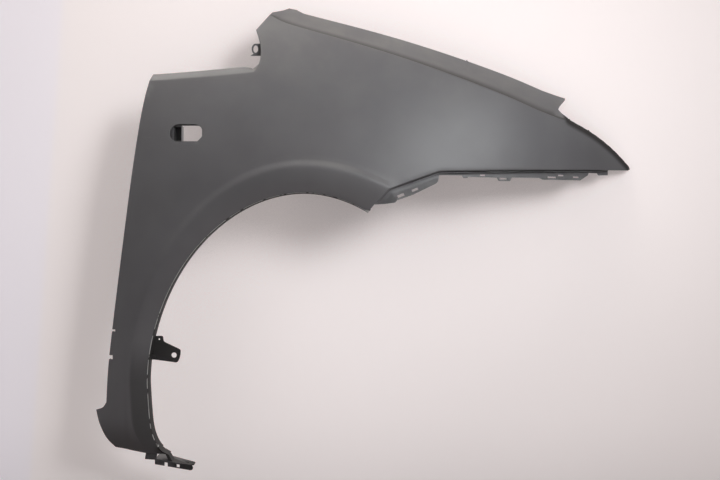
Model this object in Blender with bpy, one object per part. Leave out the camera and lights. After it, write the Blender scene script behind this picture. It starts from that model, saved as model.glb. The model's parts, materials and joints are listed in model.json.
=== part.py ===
"""Right-hand front fender of a compact family car, moulded in one piece.

Lengths are in metres and +Z is up. +X points to the front of the car and +Y inboard, so the painted side
faces -Y. The shapes are laid out from a datum at the middle of the wheel arch, at the height where the
arch is widest. The finished part is then moved so that its origin lies on the seat of the middle rail pad.
"""

import math

import bmesh
import bpy
import numpy as np

# Moulding
WALL = 0.0028
EDGE_ROUND = 0.0022

# Wheel arch rim, half of a rounded ellipse round the datum, and how far the crest of its flare lies outside it
ARCH_HALF_WIDTH = 0.328
ARCH_HEIGHT = 0.403
CREST_REAR_REACH = 0.036
CREST_FRONT_REACH = 0.109
CREST_RISE = 0.055
ARCH_POWER = 1.93
ARCH_FRONT_ANGLE = math.radians(64.5)
ARCH_FLANGE = 0.036

# Lower end of the leg behind the wheel, up to the arch: x from the rim, or the crest, at its widest
LEG_RIM = [(0.034, -0.158), (0.020, -0.144), (0.009, -0.112), (0.0035, -0.070), (0.0, 0.0)]
LEG_CREST = [(0.025, -0.1505), (0.013, -0.119), (0.004, -0.081), (0.0, 0.0)]

# Outline of the painted skin behind the wheel: x from the crest at its widest, and z from the datum
SILL_END = [(-0.036, -0.1355), (-0.053, -0.112), (-0.065, -0.080), (-0.071, -0.052)]
SILL_STEP = [(-0.071, -0.052), (-0.057, -0.047), (-0.049, -0.036)]
REAR_EDGE_LOW = [(-0.049, -0.036), (-0.043, 0.050), (-0.022, 0.234)]
REAR_EDGE_HIGH = [(0.006, -0.001), (0.022, 0.124), (0.034, 0.186)]

# Outline above the wheel, edge by edge. Here and in the upper rear edge, z is from the top of the crest
WAIST_EDGE = [(-0.221, 0.195), (-0.118, 0.2055), (-0.104, 0.212), (-0.097, 0.224)]
LOBE_EDGE = [(-0.097, 0.224), (-0.0945, 0.242), (-0.0970, 0.272), (-0.1065, 0.304)]
LOBE_CHAMFER = [(-0.1065, 0.304), (-0.078, 0.341)]
BONNET_EDGE = [(-0.078, 0.341), (-0.050, 0.3245), (0.0, 0.307), (0.207, 0.243), (0.411, 0.173), (0.512, 0.134)]
BONNET_END = [(0.512, 0.134), (0.558, 0.1195), (0.590, 0.1165)]
LAMP_EDGE = [(0.590, 0.1165), (0.645, 0.090), (0.693, 0.059), (0.737, 0.021), (0.745, 0.010)]
BUMPER_CORNER = (0.288, -0.008)
BUMPER_FRONT = (0.738, 0.007)

# How far inboard the skin lies: the sweep to the front, the lean to the top, the tuck and roll of the leg
SWEEP_DEPTH = 0.190
SWEEP_LENGTH = 0.700
SWEEP_POWER = 2.3
LEAN_DEPTH = 0.110
LEAN_START = -0.058
LEAN_HEIGHT = 0.420
TUCK_DEPTH = 0.030
TUCK_START = 0.090
TUCK_HEIGHT = 0.310
SILL_ROLL_START = -0.080
SILL_ROLL_RADIUS = 0.095

# Flare round the wheel arch
FLARE_BULGE = 0.008
FLARE_REACH = 0.110
FLARE_RIDGE = 0.0045
FLARE_FILLET = 0.018
FLARE_ROLL = 0.011
RIDGE_START = -0.180
RIDGE_FULL = 0.060

# Rolled edge beside the headlamp
LAMP_ROLL_WIDTH = 0.012
LAMP_ROLL_DEPTH = 0.006

# Flanges: how far each reaches from the edge that carries it
REAR_FLANGE = 0.014
SILL_FLANGE = 0.009
WAIST_BAND_RISE = 0.015
WAIST_BAND_DEPTH = 0.010
WAIST_FLANGE = 0.015
REBATE_STEP = 0.006
REBATE_RISE_REAR = 0.039
REBATE_RISE_FRONT = 0.056
REBATE_DEPTH = 0.045
REBATE_START_SHARES = [0.50, 1.05, 1.12]
REBATE_END_SHARES = [1.0, 1.0, 0.42, 0.20, 0.0]
REBATE_NOSE = 0.030
BAND_RISE_SHARE = 0.35
BAND_DEPTH_SHARE = 0.55
RAIL_FLANGE = 0.008
LAMP_FLANGE = 0.014
LEDGE_DEPTH = 0.012
BUMPER_PLATE = 0.027
SILL_LIP_STEP = 0.006
SILL_LIP = 0.015

# Rail pads: level plates behind the rebate that the bolts of the wing rail pass through
PAD_LENGTH = 0.042
PAD_REACH = 0.036
PAD_DROP = 0.003
PAD_CORNER = 0.006
PAD_BOLT = 0.0075
PAD_BOLT_REACH = 0.022
PAD_PLACES = [0.005, 0.185, 0.362, 0.500]
ORIGIN_PAD = 1
ORIGIN_FROM_BOLT = 0.012

# Side repeater opening: its middle is measured as the upper rear edge is
REPEATER_CENTRE = (0.1175, 0.072)
REPEATER_LENGTH = 0.070
REPEATER_HEIGHT = 0.039
POCKET_DEPTH = 0.009
WINDOW_LENGTH = 0.043
WINDOW_HEIGHT = 0.033
WINDOW_CHAMFER = 0.010
WINDOW_FRONT_MARGIN = 0.003

# Bracket for the wheel arch liner, a plate at the inner end of the arch flange: x from the rim at its widest
BRACKET_THICKNESS = 0.003
BRACKET_BOTTOM = 0.0505
BRACKET_TOP = 0.100
BRACKET_NOSE = [(0.058, 0.043), (0.0635, 0.054), (0.0655, 0.0705), (0.0285, 0.088), (0.0275, 0.100)]
BRACKET_CORNER = 0.004
BRACKET_BOLT_PLACE = (0.051, 0.059)
BRACKET_BOLT = 0.0115
BRACKET_EAR_PLACE = (0.0195, 0.0930)
BRACKET_EAR_HOLE = 0.004
BRACKET_BOSS = 0.011
BRACKET_BOSS_REACH = 0.012
BRACKET_BOSS_HEIGHT = 0.014

# Locating eye that stands out behind the rear edge of the lobe: z from the top of the crest
EYE_CENTRE = (-0.1068, 0.2610)
EYE_HOLE_WIDTH = 0.0105
EYE_HOLE_HEIGHT = 0.0165
EYE_RIM = 0.0034
EYE_THICKNESS = 0.0026
EYE_SET_BACK = 0.012
EYE_HEEL = (-0.1180, 0.2465)

# Foot that bolts under the sill: a sloping shelf with a lip along its outer side, measured from the foot of the rim
FOOT_START = (-0.028, -0.0083)
FOOT_SLOPE = math.radians(9.7)
FOOT_LENGTH = 0.082
FOOT_REAR_DEPTH = 0.058
FOOT_FRONT_DEPTH = 0.034
FOOT_LIP = 0.0120
FOOT_BOLT = 0.0085
FOOT_BOLT_FROM_END = 0.015
FOOT_WINDOW = 0.0065
FOOT_WINDOW_FROM_START = 0.050
FOOT_WINDOW_DROP = 0.0070
FOOT_GAP = 0.007
FOOT_GAP_FROM_START = 0.024
FOOT_GAP_DEPTH = 0.00392
RISER_TOP = [(-0.0090, 0.0080), (-0.0005, 0.0020)]
RISER_LENGTH = 0.011

# Lower outline of the bumper plate from the arch to the front, with its tabs, and the clip slots through it: place,
# length, height and slope. z is from the top of the crest
TAB_OUTLINE = [
    (0.142, -0.0880), (0.150, -0.0785), (0.172, -0.0775), (0.200, -0.0740), (0.217, -0.0650), (0.282, -0.0330),
    (0.286, -0.0280),
    (0.2885, -0.0150), (0.338, -0.0150), (0.341, -0.0200), (0.350, -0.0200), (0.352, -0.0180), (0.416, -0.0185),
    (0.420, -0.0255), (0.446, -0.0255), (0.450, -0.0175), (0.514, -0.0170), (0.522, -0.0205), (0.614, -0.0195),
    (0.634, -0.0075), (0.636, -0.0020), (0.658, -0.0020), (0.661, -0.0065), (0.714, -0.0045), (0.717, 0.0005),
]
TAB_CLEAR_BOTTOM = -0.128
TAB_CLEAR_FRONT = 0.780
CLIP_SLOTS = [
    (0.206, -0.0595, 0.0150, 0.0060, 22), (0.236, -0.0470, 0.0140, 0.0050, 22),
    (0.384, -0.0140, 0.0110, 0.0030, 0), (0.430, -0.0205, 0.0160, 0.0036, 0),
    (0.544, -0.0150, 0.0200, 0.0036, 0), (0.566, -0.0100, 0.0130, 0.0030, 0),
    (0.603, -0.0130, 0.0140, 0.0036, 0),
]

# Small notches in the rear edge: place as the rear edge's, and how far in and how high each is cut
REAR_NOTCHES = [((-0.036, 0.1150), 0.007, 0.0045), ((-0.0425, 0.0590), 0.008, 0.0085)]

# Finish, edges that shade as sharp, and how far the sill's roll and a rounded corner may go
ROUGHNESS = 0.42
SHARP_ANGLE = math.radians(35)
SILL_ROLL_LIMIT = 0.9
CORNER_SHARE = 0.45
SPLINE_STEPS = 24

# Mesh flow: how many columns each edge gets, and how many rows each band gets
SILL_END_COLUMNS = 6
SILL_STEP_COLUMNS = 3
REAR_COLUMNS = 26
WAIST_COLUMNS = 12
CHAMFER_COLUMNS = 3
BONNET_COLUMNS = 28
BONNET_END_COLUMNS = 5
LAMP_COLUMNS = 9
FRONT_ARCH_COLUMNS = 14
SLOPE_COLUMNS = 5
TIP_COLUMNS = 3
FLARE_ROWS = 4
BODY_ROWS = 8
LOBE_ROWS = 5
EDGE_ROW = 0.012
LOBE_FOOT_SHARE = 0.76
WAIST_ANGLE = math.radians(124)
LOBE_ANGLE = math.radians(99)

MOULDED_GREY = (0.150, 0.143, 0.147, 1.0)


def from_crest(points):
    """Places written from the rear of the crest at its widest, as places from the datum."""
    return [(x - ARCH_HALF_WIDTH - CREST_REAR_REACH, z) for x, z in points]


def from_rim(points):
    """Places written from the rear of the rim at its widest, as places from the datum."""
    return [(x - ARCH_HALF_WIDTH, z) for x, z in points]


def over_arch(points):
    """Places written with z from the top of the crest, as places from the datum."""
    return [(x, z + ARCH_HEIGHT + CREST_RISE) for x, z in points]


def from_foot(points):
    """Places written from the foot of the rim, as places from the datum."""
    foot = from_rim(LEG_RIM)[0]
    return [(x + foot[0], z + foot[1]) for x, z in points]


def rear_edge():
    return from_crest(REAR_EDGE_LOW) + over_arch(from_crest(REAR_EDGE_HIGH))


def clear_scene():
    for obj in list(bpy.data.objects):
        bpy.data.objects.remove(obj, do_unlink=True)


def spline(points, count):
    """A smooth curve through the points, cut into as many equal steps, as an array of count + 1 places."""
    knots = np.array(points, float)
    before = 2 * knots[0] - knots[1]
    after = 2 * knots[-1] - knots[-2]
    padded = np.vstack([before, knots, after])
    fine = []
    for i in range(len(knots) - 1):
        a, b, c, d = padded[i:i + 4]
        for t in np.linspace(0, 1, SPLINE_STEPS, endpoint=False):
            fine.append(0.5 * (2 * b + (c - a) * t + (2 * a - 5 * b + 4 * c - d) * t ** 2
                               + (3 * b - a - 3 * c + d) * t ** 3))
    fine.append(knots[-1])
    return even_steps(np.array(fine), count)


def even_steps(path, count):
    """The path cut into count steps of equal length."""
    lengths = np.concatenate([[0.0], np.cumsum(np.linalg.norm(np.diff(path, axis=0), axis=1))])
    stations = np.linspace(0, lengths[-1], count + 1)
    return np.stack([np.interp(stations, lengths, path[:, k]) for k in range(path.shape[1])], axis=1)


def rounded_ellipse(angle, front, rear, height):
    """A place on the half ellipse round the datum, with its own half width to the front and to the rear."""
    cosine = math.cos(angle)
    across = front if cosine > 0 else -rear
    x = across * abs(cosine) ** (2 / ARCH_POWER)
    z = height * math.sin(angle) ** (2 / ARCH_POWER)
    return x, z


def rim_place(angle):
    return rounded_ellipse(angle, ARCH_HALF_WIDTH, ARCH_HALF_WIDTH, ARCH_HEIGHT)


def crest_place(angle):
    front = ARCH_HALF_WIDTH + CREST_FRONT_REACH
    rear = ARCH_HALF_WIDTH + CREST_REAR_REACH
    return rounded_ellipse(angle, front, rear, ARCH_HEIGHT + CREST_RISE)


def smooth_step(value):
    t = np.clip(value, 0.0, 1.0)
    return t * t * (3 - 2 * t)


def beyond_crest(x, z):
    """About how far a place on the skin lies outside the crest of the flare."""
    half_width = ARCH_HALF_WIDTH + np.where(x > 0, CREST_FRONT_REACH, CREST_REAR_REACH)
    height = ARCH_HEIGHT + CREST_RISE
    across = np.abs(x) / half_width
    up = np.maximum(z, 0.0) / height
    radius = (across ** ARCH_POWER + up ** ARCH_POWER) ** (1 / ARCH_POWER)
    return np.maximum(radius - 1, 0.0) * height


def body_depth(x, z):
    """How far inboard the skin lies without its flare."""
    sweep = SWEEP_DEPTH * (np.maximum(x, 0.0) / SWEEP_LENGTH) ** SWEEP_POWER
    lean_start = ARCH_HEIGHT + CREST_RISE + LEAN_START
    lean = LEAN_DEPTH * (np.maximum(z - lean_start, 0.0) / LEAN_HEIGHT) ** 2
    tuck = TUCK_DEPTH * (np.maximum(TUCK_START - z, 0.0) / TUCK_HEIGHT) ** 2
    below = np.minimum(np.maximum(SILL_ROLL_START - z, 0.0), SILL_ROLL_LIMIT * SILL_ROLL_RADIUS)
    roll = SILL_ROLL_RADIUS - np.sqrt(SILL_ROLL_RADIUS ** 2 - below ** 2)
    return sweep + lean + tuck + roll


def flare_height(x, z):
    """How far the flare lifts the skin outboard, at its crest and outside it."""
    distance = beyond_crest(x, z)
    broad = FLARE_BULGE * np.exp(-distance / FLARE_REACH)
    ridge_share = smooth_step((x - RIDGE_START) / (RIDGE_FULL - RIDGE_START))
    ridge = FLARE_RIDGE * ridge_share * (1 - smooth_step(distance / FLARE_FILLET))
    return broad + ridge


def skin_point(place, rim_share=0.0, lamp_share=0.0):
    """The skin over a place (x, z). rim_share is 1 at the rim of the arch, lamp_share 1 at the lamp's edge."""
    x, z = place
    y = body_depth(x, z) - flare_height(x, z)
    y = y + FLARE_ROLL * rim_share ** 2 + LAMP_ROLL_DEPTH * lamp_share ** 2
    return np.array([x, float(y), z])


class Sheet:
    """The outer surface of the moulding as one open mesh, before it gets its wall."""

    def __init__(self):
        self.mesh = bmesh.new()

    def row(self, points):
        return [self.mesh.verts.new(point) for point in points]

    def fill(self, first, second):
        """Joins two rows of corners with faces. Corners that the rows share give a triangle or no face."""
        for i in range(len(first) - 1):
            corners = [first[i], first[i + 1], second[i + 1], second[i]]
            distinct = list(dict.fromkeys(corners))
            if len(distinct) > 2:
                self.mesh.faces.new(distinct)

    def patch(self, rows):
        for first, second in zip(rows, rows[1:]):
            self.fill(first, second)

    def flange(self, edge, profile, side):
        """A strip along an edge. profile gives, for each corner, its rows as (outward, along, inboard)."""
        outward, along = edge_directions([corner.co for corner in edge], side)
        columns = []
        for i, corner in enumerate(edge):
            column = [corner]
            last = (0, 0, 0)
            for row in profile(i):
                if row == last:
                    column.append(column[-1])
                    continue
                out, forward, inboard = last = row
                point = np.array(corner.co) + out * outward[i] + forward * along[i]
                point[1] += inboard
                column.append(self.mesh.verts.new(point))
            columns.append(column)
        self.patch(columns)
        return columns


def edge_directions(points, side):
    """At each corner of an edge, the directions across it and along it, both square to the inboard axis."""
    places = np.array([(point[0], point[2]) for point in points])
    along = np.gradient(places, axis=0)
    along = along / np.linalg.norm(along, axis=1)[:, None]
    outward = np.stack([-along[:, 1], along[:, 0]], axis=1) * side
    level = np.zeros(len(places))
    return (np.stack([outward[:, 0], level, outward[:, 1]], axis=1),
            np.stack([along[:, 0], level, along[:, 1]], axis=1))


def column_starts():
    """Rim and crest of the flare, column by column, from the sill to the front end of the arch."""
    leg_columns = SILL_END_COLUMNS + SILL_STEP_COLUMNS
    rim = list(spline(from_rim(LEG_RIM), leg_columns))
    crest = list(spline(from_crest(LEG_CREST), leg_columns))
    spans = [
        (math.pi, WAIST_ANGLE, REAR_COLUMNS),
        (WAIST_ANGLE, LOBE_ANGLE, WAIST_COLUMNS),
        (LOBE_ANGLE, ARCH_FRONT_ANGLE, FRONT_ARCH_COLUMNS),
    ]
    for start, end, count in spans:
        for angle in np.linspace(start, end, count + 1)[1:]:
            rim.append(np.array(rim_place(angle)))
            crest.append(np.array(crest_place(angle)))
    return rim, crest


def lower_edge(start):
    """The places along the edge over the bumper, from the crest's front end to the tip."""
    front_columns = CHAMFER_COLUMNS + BONNET_COLUMNS + BONNET_END_COLUMNS + LAMP_COLUMNS
    level_columns = front_columns - FRONT_ARCH_COLUMNS - SLOPE_COLUMNS
    corner, front = (np.array(place) for place in over_arch([BUMPER_CORNER, BUMPER_FRONT]))
    slope = even_steps(np.array([start, corner]), SLOPE_COLUMNS)[1:]
    level = even_steps(np.array([corner, front]), level_columns)[1:]
    return list(slope) + list(level)


def chained(runs):
    """The places along several edges that follow on from each other."""
    places = []
    for points, count in runs:
        places.extend(spline(points, count)[1 if places else 0:])
    return places


LAMP_LINE = spline(over_arch(LAMP_EDGE), LAMP_COLUMNS * 4)


def body_point(place):
    """The skin outside the flare, rolled inboard beside the headlamp."""
    to_lamp = float(np.linalg.norm(LAMP_LINE - np.array(place), axis=1).min())
    return skin_point(place, lamp_share=max(0.0, 1 - to_lamp / LAMP_ROLL_WIDTH))


def between(start, end, shares):
    start = np.array(start)
    end = np.array(end)
    return [start + (end - start) * share for share in shares]


def flare_patch(sheet, rim, crest):
    """Rows from the rim of the arch out to the crest of the flare."""
    rows = []
    for share in np.linspace(0, 1, FLARE_ROWS + 1):
        places = [start + (end - start) * share for start, end in zip(rim, crest)]
        rows.append(sheet.row([skin_point(place, rim_share=1 - share) for place in places]))
    sheet.patch(rows)
    return rows


def body_shares(start, end, beside_flare):
    """Row places from the crest or the lower edge to the outer edge. Beside the flare, two rows make its fillet."""
    if not beside_flare:
        return np.linspace(0, 1, BODY_ROWS + 2)[1:]
    fillet = FLARE_FILLET / np.linalg.norm(np.array(end) - np.array(start))
    return np.concatenate([[fillet / 2], np.linspace(fillet, 1, BODY_ROWS)])


def body_patch(sheet, first_row, starts, ends, flare_columns):
    """Rows from the crest and the lower edge to the rear edge, the waist and the foot of the lobe."""
    columns = []
    for i, (corner, start, end) in enumerate(zip(first_row, starts, ends)):
        shares = body_shares(start, end, i < flare_columns)
        columns.append([corner] + sheet.row([body_point(place) for place in between(start, end, shares)]))
    sheet.patch(columns)
    return columns


def lobe_patch(sheet, first_row, starts, ends):
    """Rows from the foot of the lobe to the bonnet's edge and the headlamp."""
    lobe_rear = spline(over_arch(LOBE_EDGE), LOBE_ROWS)[1:]
    columns = []
    for i, (corner, start, end) in enumerate(zip(first_row, starts, ends)):
        length = np.linalg.norm(np.array(end) - np.array(start))
        last = 1 - min(EDGE_ROW / length, 1 / LOBE_ROWS)
        shares = np.append(np.linspace(0, last, LOBE_ROWS)[1:], 1.0)
        places = lobe_rear if i == 0 else between(start, end, shares)
        columns.append([corner] + sheet.row([body_point(place) for place in places]))
    sheet.patch(columns)
    return columns


def lobe_foot(starts, ends):
    """Where the body rows end below the lobe: a line that leaves the waist's corner and runs to the front."""
    corner = np.array(over_arch(LOBE_EDGE)[0])
    count = len(starts) - 1
    line = [start + (end - start) * LOBE_FOOT_SHARE for start, end in zip(starts, ends)]
    shift = corner - line[0]
    return [place + shift * (1 - i / count) ** 3 for i, place in enumerate(line)]


def skin(sheet):
    """The painted face, as three patches that share their edges. Returns the corners along each edge."""
    rim, crest = column_starts()
    starts = crest + lower_edge(crest[-1])
    outer = chained([
        (from_crest(SILL_END), SILL_END_COLUMNS),
        (from_crest(SILL_STEP), SILL_STEP_COLUMNS),
        (rear_edge(), REAR_COLUMNS),
        (rear_edge()[-1:] + over_arch(WAIST_EDGE), WAIST_COLUMNS),
    ])
    top = chained([
        (over_arch(LOBE_CHAMFER), CHAMFER_COLUMNS),
        (over_arch(BONNET_EDGE), BONNET_COLUMNS),
        (over_arch(BONNET_END), BONNET_END_COLUMNS),
        (over_arch(LAMP_EDGE), LAMP_COLUMNS),
    ])
    turn = len(outer) - 1
    foot = lobe_foot(starts[turn:], top)
    flare_rows = flare_patch(sheet, rim, crest)
    lower = sheet.row([body_point(place) for place in starts[len(crest):]])
    body = body_patch(sheet, flare_rows[-1] + lower, starts, outer + foot[1:], len(crest))
    lobe = lobe_patch(sheet, [column[-1] for column in body[turn:]], foot, top)
    flare_end = [row[-1] for row in flare_rows]
    return {
        "rim": flare_rows[0],
        "bumper": flare_end + lower,
        "sill": body[0][::-1] + [row[0] for row in flare_rows[-2::-1]],
        "rear": [column[-1] for column in body[:turn + 1]],
        "lobe_rear": lobe[0][1:],
        "top": [column[-1] for column in lobe],
    }


def arch_flange(sheet, rim):
    """The return that faces the wheel. Its lower end is cut back a little, clear of the rolled skin."""
    def profile(i):
        cut_back = WALL if i == 0 else 0.0
        return [(EDGE_ROUND / 2, cut_back, EDGE_ROUND), (EDGE_ROUND / 2, cut_back, ARCH_FLANGE)]

    return sheet.flange(rim[1:], profile, -1)


def rear_flange(sheet, rear):
    """The returns along the sill's end and the door gap. The step between them and the waist's corner are plain."""
    first_rear = SILL_END_COLUMNS + SILL_STEP_COLUMNS

    def sill_end(i):
        return [(0, 0, SILL_FLANGE)]

    def door_gap(i):
        return [(0, 0, REAR_FLANGE)]

    sheet.flange(rear[1:SILL_END_COLUMNS - 1], sill_end, 1)
    sheet.flange(rear[first_rear + 1:first_rear + REAR_COLUMNS], door_gap, 1)


def waist_flange(sheet, waist, lobe_rear):
    """The band under the windscreen pillar. It fades in the hollow below the lobe into a plain return."""
    edge = waist + lobe_rear[:-1]
    fade_start = WAIST_COLUMNS - 4
    fade_end = WAIST_COLUMNS + 1

    def profile(i):
        share = 1 - float(smooth_step((i - fade_start) / (fade_end - fade_start)))
        cut_back = WAIST_BAND_RISE / 2 if i == 0 else 0.0
        rise = WAIST_BAND_RISE * share
        return [(rise, cut_back, WAIST_BAND_DEPTH), (rise, cut_back, WAIST_BAND_DEPTH + WAIST_FLANGE)]

    return sheet.flange(edge, profile, 1)


def bonnet_rebate(sheet, top):
    """The rebate that the bonnet's edge sits over: a step in, a sloping band and a level flange behind it."""
    edge = top[CHAMFER_COLUMNS:CHAMFER_COLUMNS + BONNET_COLUMNS + BONNET_END_COLUMNS + 1]
    last = len(edge) - 1
    first_end = last - len(REBATE_END_SHARES) + 1

    def profile(i):
        share = 1.0
        if i < len(REBATE_START_SHARES):
            share = REBATE_START_SHARES[i]
        if i >= first_end:
            share = REBATE_END_SHARES[i - first_end]
        if share == 0:
            return [(0, 0, 0)] * 4
        nose = REBATE_NOSE if i == first_end + 1 else 0.0
        rise = REBATE_RISE_REAR + (REBATE_RISE_FRONT - REBATE_RISE_REAR) * i / last
        step = REBATE_STEP * min(share, 1.0)
        depth = step + REBATE_DEPTH * share
        flange = RAIL_FLANGE if i <= first_end else 0.0
        return [
            (0, 0, step),
            (rise * share * BAND_RISE_SHARE, nose * BAND_RISE_SHARE, step + REBATE_DEPTH * share * BAND_DEPTH_SHARE),
            (rise * share, nose, depth),
            (rise * share, nose, depth + flange),
        ]

    return sheet.flange(edge, profile, 1)


def lamp_flange(sheet, top):
    edge = top[-LAMP_COLUMNS - 1:-TIP_COLUMNS]

    def profile(i):
        return [(0, 0, LAMP_FLANGE)]

    return sheet.flange(edge, profile, 1)


def bumper_flange(sheet, bumper):
    """The joggled flange that carries the bumper's corner: a ledge inboard, then a plate down."""
    edge = bumper[1:-TIP_COLUMNS]

    def profile(i):
        return [(0, 0, LEDGE_DEPTH), (BUMPER_PLATE, 0, LEDGE_DEPTH + EDGE_ROUND)]

    return sheet.flange(edge, profile, -1)


def sill_flange(sheet, sill):
    """The return under the leg, plain below the door's corner and joggled into a lip below the flare."""
    crest = len(sill) - FLARE_ROWS - 1

    def plain(i):
        return [(0, 0, SILL_FLANGE)]

    def joggled(i):
        return [(0, 0, SILL_LIP_STEP), (SILL_LIP, 0, SILL_LIP_STEP + EDGE_ROUND)]

    sheet.flange(sill[1:crest], plain, -1)
    sheet.flange(sill[crest:-2], joggled, -1)


def build_sheet():
    sheet = Sheet()
    edges = skin(sheet)
    sheet.mesh.verts.ensure_lookup_table()
    arch_flange(sheet, edges["rim"])
    rear_flange(sheet, edges["rear"])
    first_waist = SILL_END_COLUMNS + SILL_STEP_COLUMNS + REAR_COLUMNS
    waist_flange(sheet, edges["rear"][first_waist:], edges["lobe_rear"])
    rail = bonnet_rebate(sheet, edges["top"])
    lamp_flange(sheet, edges["top"])
    bumper_flange(sheet, edges["bumper"])
    sill_flange(sheet, edges["sill"])
    bmesh.ops.recalc_face_normals(sheet.mesh, faces=sheet.mesh.faces)
    sheet.mesh.faces.ensure_lookup_table()
    if sheet.mesh.faces[0].normal.y > 0:
        bmesh.ops.reverse_faces(sheet.mesh, faces=sheet.mesh.faces)
    return sheet.mesh, [[corner.co.copy() for corner in column] for column in rail]


def rounded(outline, radius, steps=3):
    """The outline with each corner turned into an arc of about the radius."""
    corners = [np.array(corner, float) for corner in outline]
    result = []
    for i, corner in enumerate(corners):
        to_last = corners[i - 1] - corner
        to_next = corners[(i + 1) % len(corners)] - corner
        reach = min(radius, CORNER_SHARE * np.linalg.norm(to_last), CORNER_SHARE * np.linalg.norm(to_next))
        start = corner + to_last / np.linalg.norm(to_last) * reach
        end = corner + to_next / np.linalg.norm(to_next) * reach
        for t in np.linspace(0, 1, steps + 1):
            result.append((1 - t) ** 2 * start + 2 * t * (1 - t) * corner + t ** 2 * end)
    return result


def ellipse(centre, width, height, sides=16):
    angles = np.linspace(0, 2 * math.pi, sides, endpoint=False)
    return [(centre[0] + width / 2 * math.cos(a), centre[1] + height / 2 * math.sin(a)) for a in angles]


def circle(centre, diameter, sides=16):
    return ellipse(centre, diameter, diameter, sides)


def stadium(centre, length, height, steps=7):
    """An outline with straight sides and round ends."""
    reach = (length - height) / 2
    outline = []
    for side in (1, -1):
        for angle in np.linspace(-math.pi / 2, math.pi / 2, steps + 1):
            outline.append((centre[0] + side * (reach + height / 2 * math.cos(angle)),
                            centre[1] + side * height / 2 * math.sin(angle)))
    return outline


def turned(outline, centre, angle):
    """The outline turned round a place."""
    cosine, sine = math.cos(angle), math.sin(angle)
    return [(centre[0] + (x - centre[0]) * cosine - (z - centre[1]) * sine,
             centre[1] + (x - centre[0]) * sine + (z - centre[1]) * cosine) for x, z in outline]


def rectangle(centre, length, height):
    x, z = centre
    return [(x - length / 2, z - height / 2), (x + length / 2, z - height / 2),
            (x + length / 2, z + height / 2), (x - length / 2, z + height / 2)]


def prism(near, far):
    """A closed solid between two outlines that have the same number of corners."""
    mesh = bmesh.new()
    near_corners = [mesh.verts.new(point) for point in near]
    far_corners = [mesh.verts.new(point) for point in far]
    mesh.faces.new(near_corners)
    mesh.faces.new(far_corners[::-1])
    for i in range(len(near_corners)):
        j = (i + 1) % len(near_corners)
        mesh.faces.new([near_corners[j], near_corners[i], far_corners[i], far_corners[j]])
    bmesh.ops.recalc_face_normals(mesh, faces=mesh.faces)
    return mesh


def inboard_prism(outline, near, far):
    """An outline in side view, carried inboard from near to far. near may be a function of the place."""
    start = [(x, near((x, z)) if callable(near) else near, z) for x, z in outline]
    end = [(x, far((x, z)) if callable(far) else far, z) for x, z in outline]
    return prism(start, end)


def upright_prism(outline, bottom, top):
    """An outline in plan view, carried up from bottom to top."""
    return prism([(x, y, bottom) for x, y in outline], [(x, y, top) for x, y in outline])


class Moulding:
    """The panel and the shapes that are fused to it or cut from it."""

    def __init__(self, panel, datum):
        self.panel = panel
        self.datum = datum

    def apply(self, name, geometry, operation):
        helper = new_object(name, geometry, self.datum)
        helper.hide_render = True
        helper.display_type = "WIRE"
        step = self.panel.modifiers.new(name, "BOOLEAN")
        step.object = helper
        step.operation = operation
        step.solver = "EXACT"

    def fuse(self, name, geometry):
        self.apply(name, geometry, "UNION")

    def cut(self, name, geometry):
        self.apply(name, geometry, "DIFFERENCE")


def skin_depth(place):
    return float(skin_point(place)[1])


def inside_wall(place):
    return skin_depth(place) + WALL / 2


def outside_skin(place):
    return skin_depth(place) - WALL * 2


def add_repeater(moulding):
    """The pocket for the side repeater: a cup behind the skin, open to the front, with a window in its floor."""
    centre = over_arch(from_crest([REPEATER_CENTRE]))[0]
    floor = skin_depth(centre) + POCKET_DEPTH
    cup = stadium(centre, REPEATER_LENGTH + 2 * WALL, REPEATER_HEIGHT + 2 * WALL)
    moulding.fuse("repeater_cup", inboard_prism(cup, inside_wall, floor + WALL))
    pocket = stadium(centre, REPEATER_LENGTH, REPEATER_HEIGHT)
    moulding.cut("repeater_pocket", inboard_prism(pocket, outside_skin, floor))
    front = centre[0] + REPEATER_LENGTH / 2 - WINDOW_FRONT_MARGIN
    rear = front - WINDOW_LENGTH
    low = centre[1] - WINDOW_HEIGHT / 2
    high = centre[1] + WINDOW_HEIGHT / 2
    window = [
        (rear, low), (front - WINDOW_CHAMFER, low), (front, low + WINDOW_CHAMFER),
        (front, high - WINDOW_CHAMFER / 2), (front - WINDOW_CHAMFER / 2, high), (rear, high),
    ]
    moulding.cut("repeater_window", inboard_prism(window, floor - WALL, floor + 2 * WALL))


def arch_place_at(z):
    """Where the rim of the arch is at a height above the datum, behind the wheel."""
    share = (z / ARCH_HEIGHT) ** ARCH_POWER
    return -ARCH_HALF_WIDTH * (1 - share) ** (1 / ARCH_POWER)


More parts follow.
